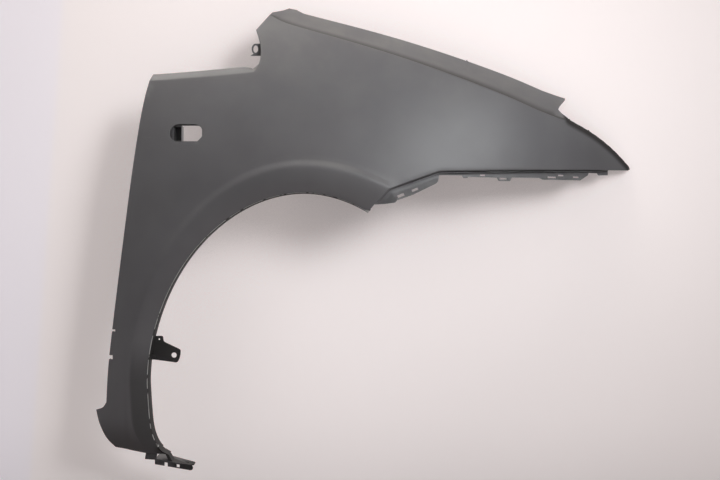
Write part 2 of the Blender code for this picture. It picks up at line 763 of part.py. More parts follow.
def add_bracket(moulding):
    inner_end = skin_depth((arch_place_at(BRACKET_BOTTOM), BRACKET_BOTTOM)) + FLARE_ROLL + ARCH_FLANGE
    near = inner_end - BRACKET_THICKNESS
    bottom_root = (arch_place_at(BRACKET_BOTTOM) - WALL / 2, BRACKET_BOTTOM)
    top_root = (arch_place_at(BRACKET_TOP) - WALL / 2, BRACKET_TOP)
    nose = rounded([bottom_root] + from_rim(BRACKET_NOSE) + [top_root], BRACKET_CORNER)
    moulding.fuse("liner_bracket", inboard_prism(nose, near, inner_end))
    boss = [
        bottom_root,
        (bottom_root[0] + BRACKET_BOSS_REACH, BRACKET_BOTTOM),
        (bottom_root[0] + BRACKET_BOSS_REACH, BRACKET_BOTTOM + BRACKET_BOSS_HEIGHT / 2),
        (bottom_root[0] + BRACKET_BOSS_REACH / 2, BRACKET_BOTTOM + BRACKET_BOSS_HEIGHT),
        (arch_place_at(BRACKET_BOTTOM + BRACKET_BOSS_HEIGHT) - WALL / 2, BRACKET_BOTTOM + BRACKET_BOSS_HEIGHT),
    ]
    moulding.fuse("bracket_boss", inboard_prism(boss, inner_end - BRACKET_BOSS, near + BRACKET_THICKNESS / 2))
    bolt_place, ear_place = from_rim([BRACKET_BOLT_PLACE, BRACKET_EAR_PLACE])
    bolt = circle(bolt_place, BRACKET_BOLT, 20)
    ear = circle(ear_place, BRACKET_EAR_HOLE, 10)
    margin = BRACKET_THICKNESS
    moulding.cut("bracket_bolt_hole", inboard_prism(bolt, near - margin, inner_end + margin))
    moulding.cut("bracket_ear_hole", inboard_prism(ear, near - margin, inner_end + margin))


def lobe_rear_at(z):
    edge = spline(over_arch(LOBE_EDGE), LOBE_ROWS * 4)
    return float(np.interp(z, edge[:, 1], edge[:, 0]))


def add_eye(moulding):
    """A loop in side view, fused to the return along the lobe's rear edge."""
    centre, heel = over_arch([EYE_CENTRE, EYE_HEEL])
    near = skin_depth((lobe_rear_at(centre[1]), centre[1])) + EYE_SET_BACK
    width = EYE_HOLE_WIDTH + 2 * EYE_RIM
    height = EYE_HOLE_HEIGHT + 2 * EYE_RIM
    top = centre[1] + height / 2
    loop = [place for place in ellipse(centre, width, height, 24) if place[0] < centre[0]]
    outline = [(lobe_rear_at(top) + WALL / 2, top), (centre[0], top)]
    outline += [place for place in loop if place[1] > heel[1] + EYE_RIM]
    outline += [heel, (lobe_rear_at(heel[1]) + WALL / 2, heel[1])]
    moulding.fuse("locating_eye", inboard_prism(outline, near, near + EYE_THICKNESS))
    hole = ellipse(centre, EYE_HOLE_WIDTH, EYE_HOLE_HEIGHT, 18)
    margin = EYE_THICKNESS
    moulding.cut("eye_hole", inboard_prism(hole, near - margin, near + EYE_THICKNESS + margin))


def add_foot(moulding):
    """The shelf that runs forward from under the leg, its lip, and the riser that joins it to the arch flange."""
    start_x, start_z = from_foot([FOOT_START])[0]
    riser_top = from_foot(RISER_TOP)
    front = start_x + FOOT_LENGTH
    fall = -math.tan(FOOT_SLOPE)
    near = skin_depth(from_rim(LEG_RIM)[0]) + SILL_LIP_STEP

    def sloped(outline):
        return [(x, start_z + z + (x - start_x) * fall) for x, z in outline]

    lip = [(start_x, 0.0), (start_x, -FOOT_LIP)] + nose_arc((front - FOOT_LIP / 2, -FOOT_LIP), FOOT_LIP)
    moulding.fuse("foot_lip", inboard_prism(sloped(lip), near, near + WALL))
    plan = [
        (start_x, near + WALL / 2), (front - FOOT_LIP / 2, near + WALL / 2), (front, near + WALL / 2 + FOOT_LIP),
        (front, near + FOOT_FRONT_DEPTH), (start_x + FOOT_LENGTH / 4, near + FOOT_REAR_DEPTH),
        (start_x, near + FOOT_REAR_DEPTH),
    ]
    top = [(x, y, start_z + (x - start_x) * fall) for x, y in plan]
    bottom = [(x, y, z - WALL) for x, y, z in top]
    moulding.fuse("foot_shelf", prism(bottom, top))
    riser_foot = sloped([(x + RISER_LENGTH, -WALL / 2) for x, z in riser_top[::-1]])
    riser_far = near - SILL_LIP_STEP + ARCH_FLANGE
    moulding.fuse("foot_riser", inboard_prism(riser_top + riser_foot, near + WALL, riser_far))
    window = rectangle((start_x + FOOT_WINDOW_FROM_START, -FOOT_WINDOW_DROP), FOOT_WINDOW, FOOT_WINDOW)
    moulding.cut("foot_window", inboard_prism(sloped(window), near - WALL, near + 2 * WALL))
    gap = rectangle((start_x + FOOT_GAP_FROM_START, -FOOT_GAP_DEPTH - FOOT_LIP / 2), FOOT_GAP, FOOT_LIP)
    moulding.cut("foot_gap", inboard_prism(sloped(gap), near - WALL, near + 2 * WALL))
    bolt_x = front - FOOT_BOLT_FROM_END
    bolt = circle((bolt_x, near + FOOT_FRONT_DEPTH / 2 + WALL), FOOT_BOLT)
    level = start_z + (bolt_x - start_x) * fall
    moulding.cut("foot_bolt_hole", upright_prism(bolt, level - 3 * WALL, level + 3 * WALL))


def nose_arc(low, height, steps=8):
    """A half circle from a low corner forward and up to the corner above it."""
    angles = np.linspace(-math.pi / 2, math.pi / 2, steps + 1)
    return [(low[0] + height / 2 * math.cos(a), low[1] + height / 2 * (1 + math.sin(a))) for a in angles]


def band_place(rail, x, level=None):
    """The rebate's top edge at x or, given a level, the place on its sloping face at that height."""
    top = np.array([column[3] for column in rail])
    middle = np.array([column[2] for column in rail])
    top_y = float(np.interp(x, top[:, 0], top[:, 1]))
    top_z = float(np.interp(x, top[:, 0], top[:, 2]))
    if level is None:
        return top_y, top_z
    middle_y = float(np.interp(x, middle[:, 0], middle[:, 1]))
    middle_z = float(np.interp(x, middle[:, 0], middle[:, 2]))
    share = (top_z - level) / (top_z - middle_z)
    return top_y + (middle_y - top_y) * share, level


def pad_level(rail, x):
    """The upper face of a rail pad: just below the rebate's top edge at the pad's lower end."""
    return band_place(rail, x + PAD_LENGTH / 2)[1] - PAD_DROP


def add_rail_pads(moulding, rail):
    for i, x in enumerate(PAD_PLACES):
        level = pad_level(rail, x)
        bolt_y = band_place(rail, x)[0] + PAD_BOLT_REACH
        rear, front = x - PAD_LENGTH / 2, x + PAD_LENGTH / 2
        inner = band_place(rail, x)[0] + PAD_REACH
        plan = [(rear, band_place(rail, rear, level)[0] + WALL / 2)]
        plan.append((front, band_place(rail, front, level)[0] + WALL / 2))
        plan += [(front, inner - PAD_CORNER), (front - PAD_CORNER, inner)]
        plan += [(rear + PAD_CORNER, inner), (rear, inner - PAD_CORNER)]
        moulding.fuse(f"rail_pad_{i + 1}", upright_prism(plan, level - WALL, level))
        bolt = circle((x, bolt_y), PAD_BOLT, 14)
        moulding.cut(f"rail_bolt_hole_{i + 1}", upright_prism(bolt, level - 2 * WALL, level + WALL))


def origin_seat(rail):
    """The mount: on the underside of one rail pad, beside its bolt hole."""
    x = PAD_PLACES[ORIGIN_PAD]
    y = band_place(rail, x)[0] + PAD_BOLT_REACH
    return x + ORIGIN_FROM_BOLT, y, pad_level(rail, x) - WALL


def shape_bumper_plate(moulding):
    """Cuts the bumper plate back to its tabs, and its clip slots."""
    outline = over_arch(TAB_OUTLINE + [
        (TAB_CLEAR_FRONT, TAB_OUTLINE[-1][1]),
        (TAB_CLEAR_FRONT, TAB_CLEAR_BOTTOM),
        (TAB_OUTLINE[0][0], TAB_CLEAR_BOTTOM),
    ])
    rear = skin_depth(outline[0]) - LEDGE_DEPTH
    front = skin_depth(over_arch([BUMPER_FRONT])[0]) + 4 * LEDGE_DEPTH
    moulding.cut("bumper_tabs", inboard_prism(outline, rear, front))
    for i, (x, z, length, height, slope) in enumerate(CLIP_SLOTS):
        place = over_arch([(x, z)])[0]
        slot = turned(rectangle(place, length, height), place, math.radians(slope))
        near = skin_depth(place) + LEDGE_DEPTH - 3 * WALL
        moulding.cut(f"clip_slot_{i + 1}", inboard_prism(slot, near, near + 9 * WALL))


def notch_rear_edge(moulding):
    for i, (place, reach, height) in enumerate(REAR_NOTCHES):
        notch = rectangle(from_crest([place])[0], 2 * reach, height)
        moulding.cut(f"rear_notch_{i + 1}", inboard_prism(notch, outside_skin, REAR_FLANGE * 2))


def moulding_material():
    material = bpy.data.materials.new("moulded_grey")
    material.use_nodes = True
    shader = material.node_tree.nodes["Principled BSDF"]
    shader.inputs["Base Color"].default_value = MOULDED_GREY
    shader.inputs["Roughness"].default_value = ROUGHNESS
    shader.inputs["Metallic"].default_value = 0.0
    return material


def new_object(name, geometry, datum):
    mesh = bpy.data.meshes.new(name)
    geometry.to_mesh(mesh)
    geometry.free()
    obj = bpy.data.objects.new(name, mesh)
    bpy.context.scene.collection.objects.link(obj)
    obj.parent = datum
    return obj


def main():
    clear_scene()
    datum = bpy.data.objects.new("arch_datum", None)
    bpy.context.scene.collection.objects.link(datum)
    geometry, rail = build_sheet()
    panel = new_object("fender_panel", geometry, datum)
    panel.data.materials.append(moulding_material())
    panel.data.shade_smooth()
    panel.data.set_sharp_from_angle(angle=SHARP_ANGLE)
    wall = panel.modifiers.new("wall", "SOLIDIFY")
    wall.thickness = WALL
    wall.offset = -1
    wall.use_even_offset = True
    wall.use_quality_normals = True
    moulding = Moulding(panel, datum)
    add_repeater(moulding)
    add_bracket(moulding)
    add_eye(moulding)
    add_foot(moulding)
    add_rail_pads(moulding, rail)
    shape_bumper_plate(moulding)
    notch_rear_edge(moulding)
    datum.location = [-value for value in origin_seat(rail)]


main()
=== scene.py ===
"""The car fender's look: a fine mesh of the moulding in satin grey, with a wall, a floor and lamps."""

import json
import math

import bmesh
import bpy
import numpy as np
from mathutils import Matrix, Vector
from mathutils.kdtree import KDTree

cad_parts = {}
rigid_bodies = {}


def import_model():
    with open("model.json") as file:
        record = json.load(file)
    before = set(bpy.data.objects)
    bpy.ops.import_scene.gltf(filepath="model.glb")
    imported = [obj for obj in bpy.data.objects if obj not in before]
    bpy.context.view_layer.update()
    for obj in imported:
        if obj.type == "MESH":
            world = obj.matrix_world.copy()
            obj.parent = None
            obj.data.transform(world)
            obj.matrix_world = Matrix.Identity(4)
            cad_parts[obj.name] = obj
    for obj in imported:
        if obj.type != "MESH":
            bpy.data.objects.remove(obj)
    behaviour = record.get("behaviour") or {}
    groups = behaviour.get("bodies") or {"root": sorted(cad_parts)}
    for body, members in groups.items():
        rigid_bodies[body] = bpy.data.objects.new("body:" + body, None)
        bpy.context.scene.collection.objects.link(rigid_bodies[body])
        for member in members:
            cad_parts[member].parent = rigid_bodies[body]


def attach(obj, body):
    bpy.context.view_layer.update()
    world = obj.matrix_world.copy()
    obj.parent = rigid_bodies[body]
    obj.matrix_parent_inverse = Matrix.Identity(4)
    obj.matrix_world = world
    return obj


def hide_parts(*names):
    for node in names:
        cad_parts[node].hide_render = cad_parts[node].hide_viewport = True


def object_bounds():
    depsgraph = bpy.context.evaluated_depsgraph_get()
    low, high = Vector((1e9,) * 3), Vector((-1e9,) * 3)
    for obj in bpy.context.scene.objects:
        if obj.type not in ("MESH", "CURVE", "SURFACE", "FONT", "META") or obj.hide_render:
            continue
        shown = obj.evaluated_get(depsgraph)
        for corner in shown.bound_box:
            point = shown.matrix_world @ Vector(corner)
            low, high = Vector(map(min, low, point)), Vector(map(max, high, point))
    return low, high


for obj in list(bpy.data.objects):
    bpy.data.objects.remove(obj, do_unlink=True)
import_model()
cad_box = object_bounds()

# The solid's wall, the scene's thinner one, and the round of a moulded edge
WALL = 0.0028
SHELL_WALL = 0.0017
EDGE_ROUND = 0.0022

# Wheel arch rim and the crest of its flare, each half of a rounded ellipse round the datum
ARCH_HALF_WIDTH = 0.328
ARCH_HEIGHT = 0.403
CREST_REAR_HALF_WIDTH = 0.364
CREST_FRONT_HALF_WIDTH = 0.437
CREST_HEIGHT = 0.458
ARCH_POWER = 1.93
ARCH_FRONT_ANGLE = math.radians(64.5)
ARCH_FLANGE = 0.036

# Lower end of the leg behind the wheel, from the foot of the rim and of the crest up to the arch
LEG_RIM = [(-0.294, -0.158), (-0.308, -0.144), (-0.319, -0.112), (-0.3245, -0.070), (-0.328, 0.0)]
LEG_CREST = [(-0.339, -0.1505), (-0.351, -0.119), (-0.360, -0.081), (-0.364, 0.0)]

# Outline of the painted skin, edge by edge
SILL_END = [(-0.400, -0.1355), (-0.417, -0.112), (-0.429, -0.080), (-0.435, -0.052)]
SILL_STEP = [(-0.435, -0.052), (-0.421, -0.047), (-0.413, -0.036)]
REAR_EDGE = [
    (-0.413, -0.036), (-0.407, 0.050), (-0.386, 0.234), (-0.358, 0.457), (-0.342, 0.582), (-0.330, 0.644),
]
WAIST_EDGE = [(-0.330, 0.644), (-0.221, 0.653), (-0.118, 0.6635), (-0.104, 0.670), (-0.097, 0.682)]
LOBE_EDGE = [(-0.097, 0.682), (-0.0945, 0.700), (-0.0970, 0.730), (-0.1065, 0.762)]
LOBE_CHAMFER = [(-0.1065, 0.762), (-0.078, 0.799)]
BONNET_EDGE = [
    (-0.078, 0.799), (-0.050, 0.7825), (0.0, 0.765), (0.207, 0.701), (0.411, 0.631), (0.512, 0.592),
]
BONNET_END = [(0.512, 0.592), (0.558, 0.5775), (0.590, 0.5745)]
LAMP_EDGE = [(0.590, 0.5745), (0.645, 0.548), (0.693, 0.517), (0.737, 0.479), (0.745, 0.468)]
BUMPER_CORNER = (0.288, 0.450)
BUMPER_FRONT = (0.738, 0.465)

# How far inboard the skin lies: the sweep to the front, the lean to the top, the tuck and roll of the leg
SWEEP_DEPTH = 0.190
SWEEP_LENGTH = 0.700
SWEEP_POWER = 2.3
LEAN_DEPTH = 0.110
LEAN_START = 0.400
LEAN_HEIGHT = 0.420
TUCK_DEPTH = 0.030
TUCK_START = 0.090
TUCK_HEIGHT = 0.310
SILL_ROLL_START = -0.080
SILL_ROLL_RADIUS = 0.095
SILL_ROLL_LIMIT = 0.9

# Flare round the wheel arch: its broad bulge, the ridge along its crest, and the roll at its rim
FLARE_BULGE = 0.0077
FLARE_REACH = 0.110
FLARE_RIDGE = 0.0045
FLARE_FILLET = 0.018
FLARE_ROLL = 0.011
RIDGE_START = -0.180
RIDGE_FULL = 0.060
RIDGE_LEAST = 0.42

# Break down the leg: the rim's side turns inboard, from none at one place to the full depth at the other
LEG_BREAK = 0.004
LEG_BREAK_START = -0.220
LEG_BREAK_FULL = -0.310

# Rolled edge beside the headlamp
LAMP_ROLL_WIDTH = 0.012
LAMP_ROLL_DEPTH = 0.006

# Flanges: how far each reaches from the edge that carries it
REAR_FLANGE = 0.014
SILL_FLANGE = 0.009
WAIST_BAND_RISE = 0.015
WAIST_BAND_DEPTH = 0.010
WAIST_FLANGE = 0.015
WAIST_FADE_START = 2.5
WAIST_FADE_COLUMNS = 3.5
REBATE_STEP = 0.006
REBATE_RISE_REAR = 0.039
REBATE_RISE_FRONT = 0.056
REBATE_DEPTH = 0.045
REBATE_START_SHARES = [0.22, 1.05, 1.13]
REBATE_END_SHARES = [1.0, 1.0, 0.42, 0.20, 0.0]
REBATE_NOSE = 0.030
BAND_RISE_SHARE = 0.48
BAND_DEPTH_SHARE = 0.48
RAIL_FLANGE = 0.008
LAMP_FLANGE = 0.014
LEDGE_DEPTH = 0.012
BUMPER_PLATE = 0.027
TAB_TILT_START = 0.0095
TAB_TILT = 0.005
SILL_LIP_STEP = 0.006
SILL_LIP = 0.015

# Rail pads: level plates behind the rebate that the bolts of the wing rail pass through
PAD_LENGTH = 0.042
PAD_REACH = 0.036
PAD_DROP = 0.003
PAD_CORNER = 0.006
PAD_BOLT = 0.0075
PAD_BOLT_REACH = 0.022
PAD_PLACES = [0.005, 0.185, 0.362, 0.500]

# Side repeater opening
REPEATER_CENTRE = (-0.2465, 0.530)
REPEATER_LENGTH = 0.070
REPEATER_HEIGHT = 0.039
POCKET_DEPTH = 0.009
WINDOW_LENGTH = 0.043
WINDOW_HEIGHT = 0.033
WINDOW_CHAMFER = 0.010
WINDOW_FRONT_MARGIN = 0.003

# Deep slot at the rear of the pocket, which takes the lamp's hook: from its rear wall to its front wall
HOOK_SLOT = (-0.2737, -0.2590)
HOOK_SLOT_HEIGHT = 0.030
HOOK_SLOT_DEPTH = 0.022
HOOK_SLOT_WALL = 0.0014

# Bracket for the wheel arch liner, a plate at the inner end of the arch flange
BRACKET_THICKNESS = 0.003
BRACKET_BOTTOM = 0.0505
BRACKET_TOP = 0.100
BRACKET_NOSE = [(-0.270, 0.043), (-0.2645, 0.054), (-0.2625, 0.0705), (-0.2995, 0.088), (-0.3005, 0.100)]
BRACKET_CORNER = 0.004
BRACKET_BOLT_PLACE = (-0.277, 0.059)
BRACKET_BOLT = 0.0115
BRACKET_EAR_PLACE = (-0.3085, 0.0930)
BRACKET_EAR_HOLE = 0.004
BRACKET_BOSS = 0.011
BRACKET_BOSS_REACH = 0.012
BRACKET_BOSS_HEIGHT = 0.014

# Locating eye that stands out behind the rear edge of the lobe
EYE_CENTRE = (-0.1068, 0.7190)
EYE_HOLE_WIDTH = 0.0105
EYE_HOLE_HEIGHT = 0.0165
EYE_RIM = 0.0034
EYE_THICKNESS = 0.0026
EYE_SET_BACK = 0.012
EYE_HEEL = (-0.1180, 0.7045)

# Foot that bolts under the sill: a sloping shelf with a lip along its outer side
FOOT_START = (-0.322, -0.1663)
FOOT_SLOPE = math.radians(9.7)
FOOT_LENGTH = 0.082
FOOT_REAR_DEPTH = 0.058
FOOT_FRONT_DEPTH = 0.034
FOOT_LIP = 0.0120
FOOT_BOLT = 0.0085
FOOT_BOLT_FROM_END = 0.015
FOOT_WINDOW = 0.0065
FOOT_WINDOW_FROM_START = 0.050
FOOT_WINDOW_DROP = 0.0070
FOOT_GAP = 0.007
FOOT_GAP_FROM_START = 0.024
FOOT_GAP_DROP = 1.4 * WALL
RISER_TOP = [(-0.3030, -0.1500), (-0.2945, -0.1560)]
RISER_LENGTH = 0.011
WEB_COLUMNS = 24
WEB_PLACES = 5
WEB_LIFT = (0.0026, 0.0020)

# Rib under the skin's lower edge, flash on the parting line, and the cut that squares the rebate's end
RIB_DROP = 0.0022
RIB_THICKNESS = 0.0012
RIB_INSET = 0.005
FLASH = 0.003
RAIL_FLASH = [0.358]
LAMP_FLASH = [0.02, 0.30]
LAMP_FLASH_RISE = 0.8
REBATE_TRIM = [
    (0.5845, 0.6600), (0.5845, 0.6230), (0.5785, 0.6130), (0.5785, 0.6060),
    (0.5835, 0.5985), (0.6300, 0.5985), (0.6300, 0.6600),
]

# Lower outline of the bumper plate from the arch to the front, with its tabs, and how far the cut clears it
TAB_OUTLINE = [
    (0.142, 0.3700), (0.150, 0.3795), (0.172, 0.3805), (0.200, 0.3840), (0.217, 0.3930),
    (0.282, 0.4250), (0.286, 0.4300), (0.2885, 0.4430), (0.338, 0.4430), (0.341, 0.4380),
    (0.350, 0.4380), (0.352, 0.4400), (0.416, 0.4395), (0.420, 0.4325), (0.446, 0.4325),
    (0.450, 0.4405), (0.514, 0.4410), (0.522, 0.4375), (0.614, 0.4385), (0.634, 0.4505),
    (0.636, 0.4560), (0.658, 0.4560), (0.661, 0.4515), (0.714, 0.4535), (0.717, 0.4585),
]
TAB_CLEAR_BOTTOM = 0.330
TAB_CLEAR_FRONT = 0.780

# Clip slots: place, length, height and slope in degrees
CLIP_SLOTS = [
    (0.206, 0.3985, 0.0150, 0.0060, 22), (0.236, 0.4110, 0.0140, 0.0050, 22),
    (0.384, 0.4440, 0.0110, 0.0030, 0), (0.430, 0.4375, 0.0160, 0.0036, 0),
    (0.544, 0.4430, 0.0200, 0.0036, 0), (0.566, 0.4480, 0.0130, 0.0030, 0),
    (0.603, 0.4450, 0.0140, 0.0036, 0),
]

# Small notches in the rear edge: place along the edge, and how far in and how high each is cut
REAR_NOTCHES = [((-0.400, 0.1150), 0.007, 0.0045), ((-0.4065, 0.0590), 0.008, 0.0085)]

# Mesh flow: how many columns each edge gets, and how many rows each band gets
SILL_END_COLUMNS = 6
SILL_STEP_COLUMNS = 3
LEG_COLUMNS = SILL_END_COLUMNS + SILL_STEP_COLUMNS
REAR_COLUMNS = 26
WAIST_COLUMNS = 12
CHAMFER_COLUMNS = 3
BONNET_COLUMNS = 28
BONNET_END_COLUMNS = 5
LAMP_COLUMNS = 9
FRONT_ARCH_COLUMNS = 14
SLOPE_COLUMNS = 5
TIP_COLUMNS = 3
FLARE_ROWS = 4
BODY_ROWS = 8
LOBE_ROWS = 5

# The fine mesh: its steps for each of the layout's columns and rows, and the rows that end at an edge
FINE = 3
ROW = 3
EDGE_STEPS = [0.25, 0.5, 1.0]
EDGE_ROW = 0.012
FIRST_ROW_SHARE = 0.75
SHARP_ANGLE = math.radians(33)

# How finely the curves are cut: between two of their points, for each column of an edge, and as marked lines
SPLINE_STEPS = 24
EDGE_FINE = 4
LINE_STEPS = 900

# Folds and rounded corners: how far they reach at most, also as a share of the sides that they join
BEND = 0.0024
CREASE_BEND = 0.0013
BEND_STEPS = 3
FOLD_SHARE = 0.48
CORNER_SHARE = 0.45
LEAST_BEND = 1e-5
SAME_PLACE = 1e-6

# The lobe: its bowed rear edge, its foot, and the angles round the arch where its and the waist's columns are
LOBE_STEPS = 24
BOW_COLUMNS = 4
LOBE_FOOT_SHARE = 0.76
WAIST_ANGLE = math.radians(124)
LOBE_ANGLE = math.radians(99)

# The bonnet rebate's folds, in the order of its profile after the edge itself
SEAM_FOLD, MIDDLE_FOLD, TOP_FOLD = 1, 2, 3

# The moulding's finish: the two greys that it drifts between. A span runs from no share to the full one.
GREY_DARK = (0.112, 0.106, 0.110, 1.0)
GREY_LIGHT = (0.136, 0.129, 0.133, 1.0)
MOTTLE_SCALE = 5.0
MOTTLE_SPAN = (0.3, 0.7)

# Dust, in patches on what faces up
DUST = (0.245, 0.232, 0.212, 1.0)
DUST_SCALE = 16.0
DUST_PATCHES = (0.35, 0.75)
DUST_FACING = (0.05, 0.9)
DUST_LEAST = 0.35
DUST_SHARE = 0.40
DUST_ROUGHNESS = 0.18

# Edges rubbed paler, and hair scratches
RUBBED = (0.270, 0.262, 0.262, 1.0)
EDGE_SPAN = (0.515, 0.560)
WEAR_SCALE = 34.0
WEAR_PATCHES = (0.42, 0.62)
WEAR_SHARE = 0.22
SCRATCH_SCALE = 55.0
SCRATCH_STRETCH = (0.35, 1.0, 6.0)
SCRATCH_HAIRS = (0.70, 0.76)
SCRATCH_PATCHES = 4.0
SCRATCH_PLACES = (0.52, 0.68)
SCRATCH_SHARE = 0.25

# Painted shade: a near-black colour laid on in the corners and as a dark line along the seam at the bonnet's
# edge
PAINTED_SHADE = (0.040, 0.036, 0.034, 1.0)
CORNER_SHADE_REACH = 0.010
CORNER_SHADE_SPAN = (0.35, 0.90)
CORNER_SHADE_SHARE = 0.70
SEAM_REACH = 0.0055
SEAM_SPAN = (0.25, 0.80)
SEAM_SHARE = 0.85

# Painted highlight along the arch's rim, in bright dashes
PAINTED_RIM_HIGHLIGHT = (0.900, 0.870, 0.840, 1.0)
DASH_SCALE = 70.0
DASH_SPAN = (0.34, 0.46)
RIM_REACH = 0.0026
RIM_SPAN = (0.30, 0.75)
RIM_SHARE = 0.90

# Painted shade, also duller: on the wheel's side of the rim, the leg's front, its lower end and beside the
# headlamp
WHEEL_SIDE_START = -0.0018
WHEEL_SIDE_BLUR = 0.0014
WHEEL_SIDE_SHARE = 0.80
LEG_FRONT_START = -0.001
LEG_FRONT_BLUR = 0.005
LEG_FRONT_SHARE = 0.42
LEG_FRONT_TOP = -0.640
LEG_FRONT_FULL = -0.740
SILL_SHADE_TOP = -0.800
SILL_SHADE_FULL = -0.890
SILL_SHADE_SHARE = 0.42
LAMP_REACH = 0.024
LAMP_SPAN = (0.05, 0.55)
LAMP_SHARE = 0.88

# How the surface shines, the slight waviness of the moulding, and its grain
SHEEN_SCALE = 9.0
SHEEN_RANGE = 0.12
ROUGHNESS = 0.44
GLOSS = 0.5
PEEL_SCALE = 190.0
PEEL_STRENGTH = 0.10
PEEL_DEPTH = 0.0004
GRAIN_SCALE = 1500.0
GRAIN_STRENGTH = 0.12
GRAIN_DEPTH = 0.0001

# The wall and floor: their colour, the shares of it that the lamps light for the camera and for the object,
# the level that the camera adds, and the shade close to the object
BACKDROP = (0.860, 0.780, 0.770, 1.0)
BESIDE_SHEET = (0.830, 0.770, 0.810, 1.0)
BLACK = (0.0, 0.0, 0.0, 1.0)
SHEET_EDGE = (-0.776, 0.0686)
SHEET_BLUR = 0.003
LIT_SHARE = 1.0
WALL_BOUNCE = 0.30
FLOOR_BOUNCE = 0.12
GLOW = 0.44
NEAR_OBJECT = 0.45
NEAR_SHARE = 0.62
WALL_PLANE = 0.095
WALL_TOP = 3
STAGE_SIDE = 4
FLOOR_DROP = 0.35
FLOOR_REACH = 5

# Lamps: place, target, size, power, spread in degrees and colour
LAMPS = {
    "top": ((-0.9, -0.46, 2.1), (0.0, 0.0, -0.2), (1.4, 0.6), 45, 180, (1.0, 0.97, 0.93)),
    "side": ((1.6, -2.5, 0.8), (0.08, 0.0, -0.18), (1.3, 1.3), 4.8, 36, (0.95, 0.98, 1.0)),
    "left": ((-2.0, -2.2, 0.9), (-0.3, 0.0, -0.5), (1.2, 1.2), 2.7, 180, (1.0, 0.97, 0.95)),
    "rear": ((0.8, 2.4, 1.2), (0.0, 0.0, -0.4), (1.6, 1.6), 60, 180, (1.0, 1.0, 1.0)),
}
WORLD_COLOUR = (1.0, 0.98, 0.98, 1.0)
WORLD_LEVEL = 0.09

# The camera at the photograph's angle, and the arch's centre, which all the outlines are measured from
CAMERA_PLACE = (-0.0773, -2.3407, -0.4389)
CAMERA_LENS = 52.4
CAMERA_SENSOR = 36
DATUM = (-0.1970, -0.14071, -0.74343)


def spline(points, count):
    """A smooth curve through the points, cut into as many equal steps, as an array of count + 1 places."""
    knots = np.array(points, float)
    before = 2 * knots[0] - knots[1]
    after = 2 * knots[-1] - knots[-2]
    padded = np.vstack([before, knots, after])
    fine = []
    for a, b, c, d in zip(padded, padded[1:], padded[2:], padded[3:]):
        bow = 2 * a - 5 * b + 4 * c - d
        twist = 3 * b - a - 3 * c + d
        for t in np.linspace(0, 1, SPLINE_STEPS, endpoint=False):
            fine.append(0.5 * (2 * b + (c - a) * t + bow * t ** 2 + twist * t ** 3))
    fine.append(knots[-1])
    return even_steps(np.array(fine), count)


def even_steps(path, count):
    """The path cut into count steps of equal length."""
    lengths = np.concatenate([[0.0], np.cumsum(np.linalg.norm(np.diff(path, axis=0), axis=1))])
    stations = np.linspace(0, lengths[-1], count + 1)
    return np.stack([np.interp(stations, lengths, path[:, k]) for k in range(path.shape[1])], axis=1)


def rounded_ellipse(angle, front, rear, height):
    """A place on the half ellipse round the datum, with its own half width to the front and to the rear."""
    cosine = math.cos(angle)
    across = front if cosine > 0 else -rear
    x = across * abs(cosine) ** (2 / ARCH_POWER)
    z = height * math.sin(angle) ** (2 / ARCH_POWER)
    return x, z


def rim_place(angle):
    return rounded_ellipse(angle, ARCH_HALF_WIDTH, ARCH_HALF_WIDTH, ARCH_HEIGHT)


def crest_place(angle):
    return rounded_ellipse(angle, CREST_FRONT_HALF_WIDTH, CREST_REAR_HALF_WIDTH, CREST_HEIGHT)


def smooth_step(value):
    t = np.clip(value, 0.0, 1.0)
    return t * t * (3 - 2 * t)


def beyond_crest(x, z):
    """About how far a place on the skin lies outside the crest of the flare."""
    half_width = np.where(x > 0, CREST_FRONT_HALF_WIDTH, CREST_REAR_HALF_WIDTH)
    across = np.abs(x) / half_width
    up = np.maximum(z, 0.0) / CREST_HEIGHT
    radius = (across ** ARCH_POWER + up ** ARCH_POWER) ** (1 / ARCH_POWER)
    return np.maximum(radius - 1, 0.0) * CREST_HEIGHT


def body_depth(x, z):
    """How far inboard the skin lies without its flare."""
    sweep = SWEEP_DEPTH * (np.maximum(x, 0.0) / SWEEP_LENGTH) ** SWEEP_POWER
    lean = LEAN_DEPTH * (np.maximum(z - LEAN_START, 0.0) / LEAN_HEIGHT) ** 2
    tuck = TUCK_DEPTH * (np.maximum(TUCK_START - z, 0.0) / TUCK_HEIGHT) ** 2
    below = np.minimum(np.maximum(SILL_ROLL_START - z, 0.0), SILL_ROLL_LIMIT * SILL_ROLL_RADIUS)
    roll = SILL_ROLL_RADIUS - np.sqrt(SILL_ROLL_RADIUS ** 2 - below ** 2)
    return sweep + lean + tuck + roll


def flare_height(x, z):
    """How far the flare lifts the skin outboard, at its crest and outside it."""
    distance = beyond_crest(x, z)
    broad = FLARE_BULGE * np.exp(-distance / FLARE_REACH)
    forward = smooth_step((x - RIDGE_START) / (RIDGE_FULL - RIDGE_START))
    ridge = FLARE_RIDGE * (RIDGE_LEAST + (1 - RIDGE_LEAST) * forward)
    return broad + ridge * (1 - smooth_step(distance / FLARE_FILLET))


def skin_point(place, rim_share=0.0, lamp_share=0.0):
    """The skin over a place (x, z). rim_share is 1 at the arch's rim, and lamp_share 1 at the lamp's edge."""
    x, z = place
    y = body_depth(x, z) - flare_height(x, z)
    leg_share = float(smooth_step((x - LEG_BREAK_START) / (LEG_BREAK_FULL - LEG_BREAK_START)))
    y = y + FLARE_ROLL * rim_share ** 2 + LEG_BREAK * leg_share * rim_share
    y = y + LAMP_ROLL_DEPTH * lamp_share ** 2
    return np.array([x, float(y), z])


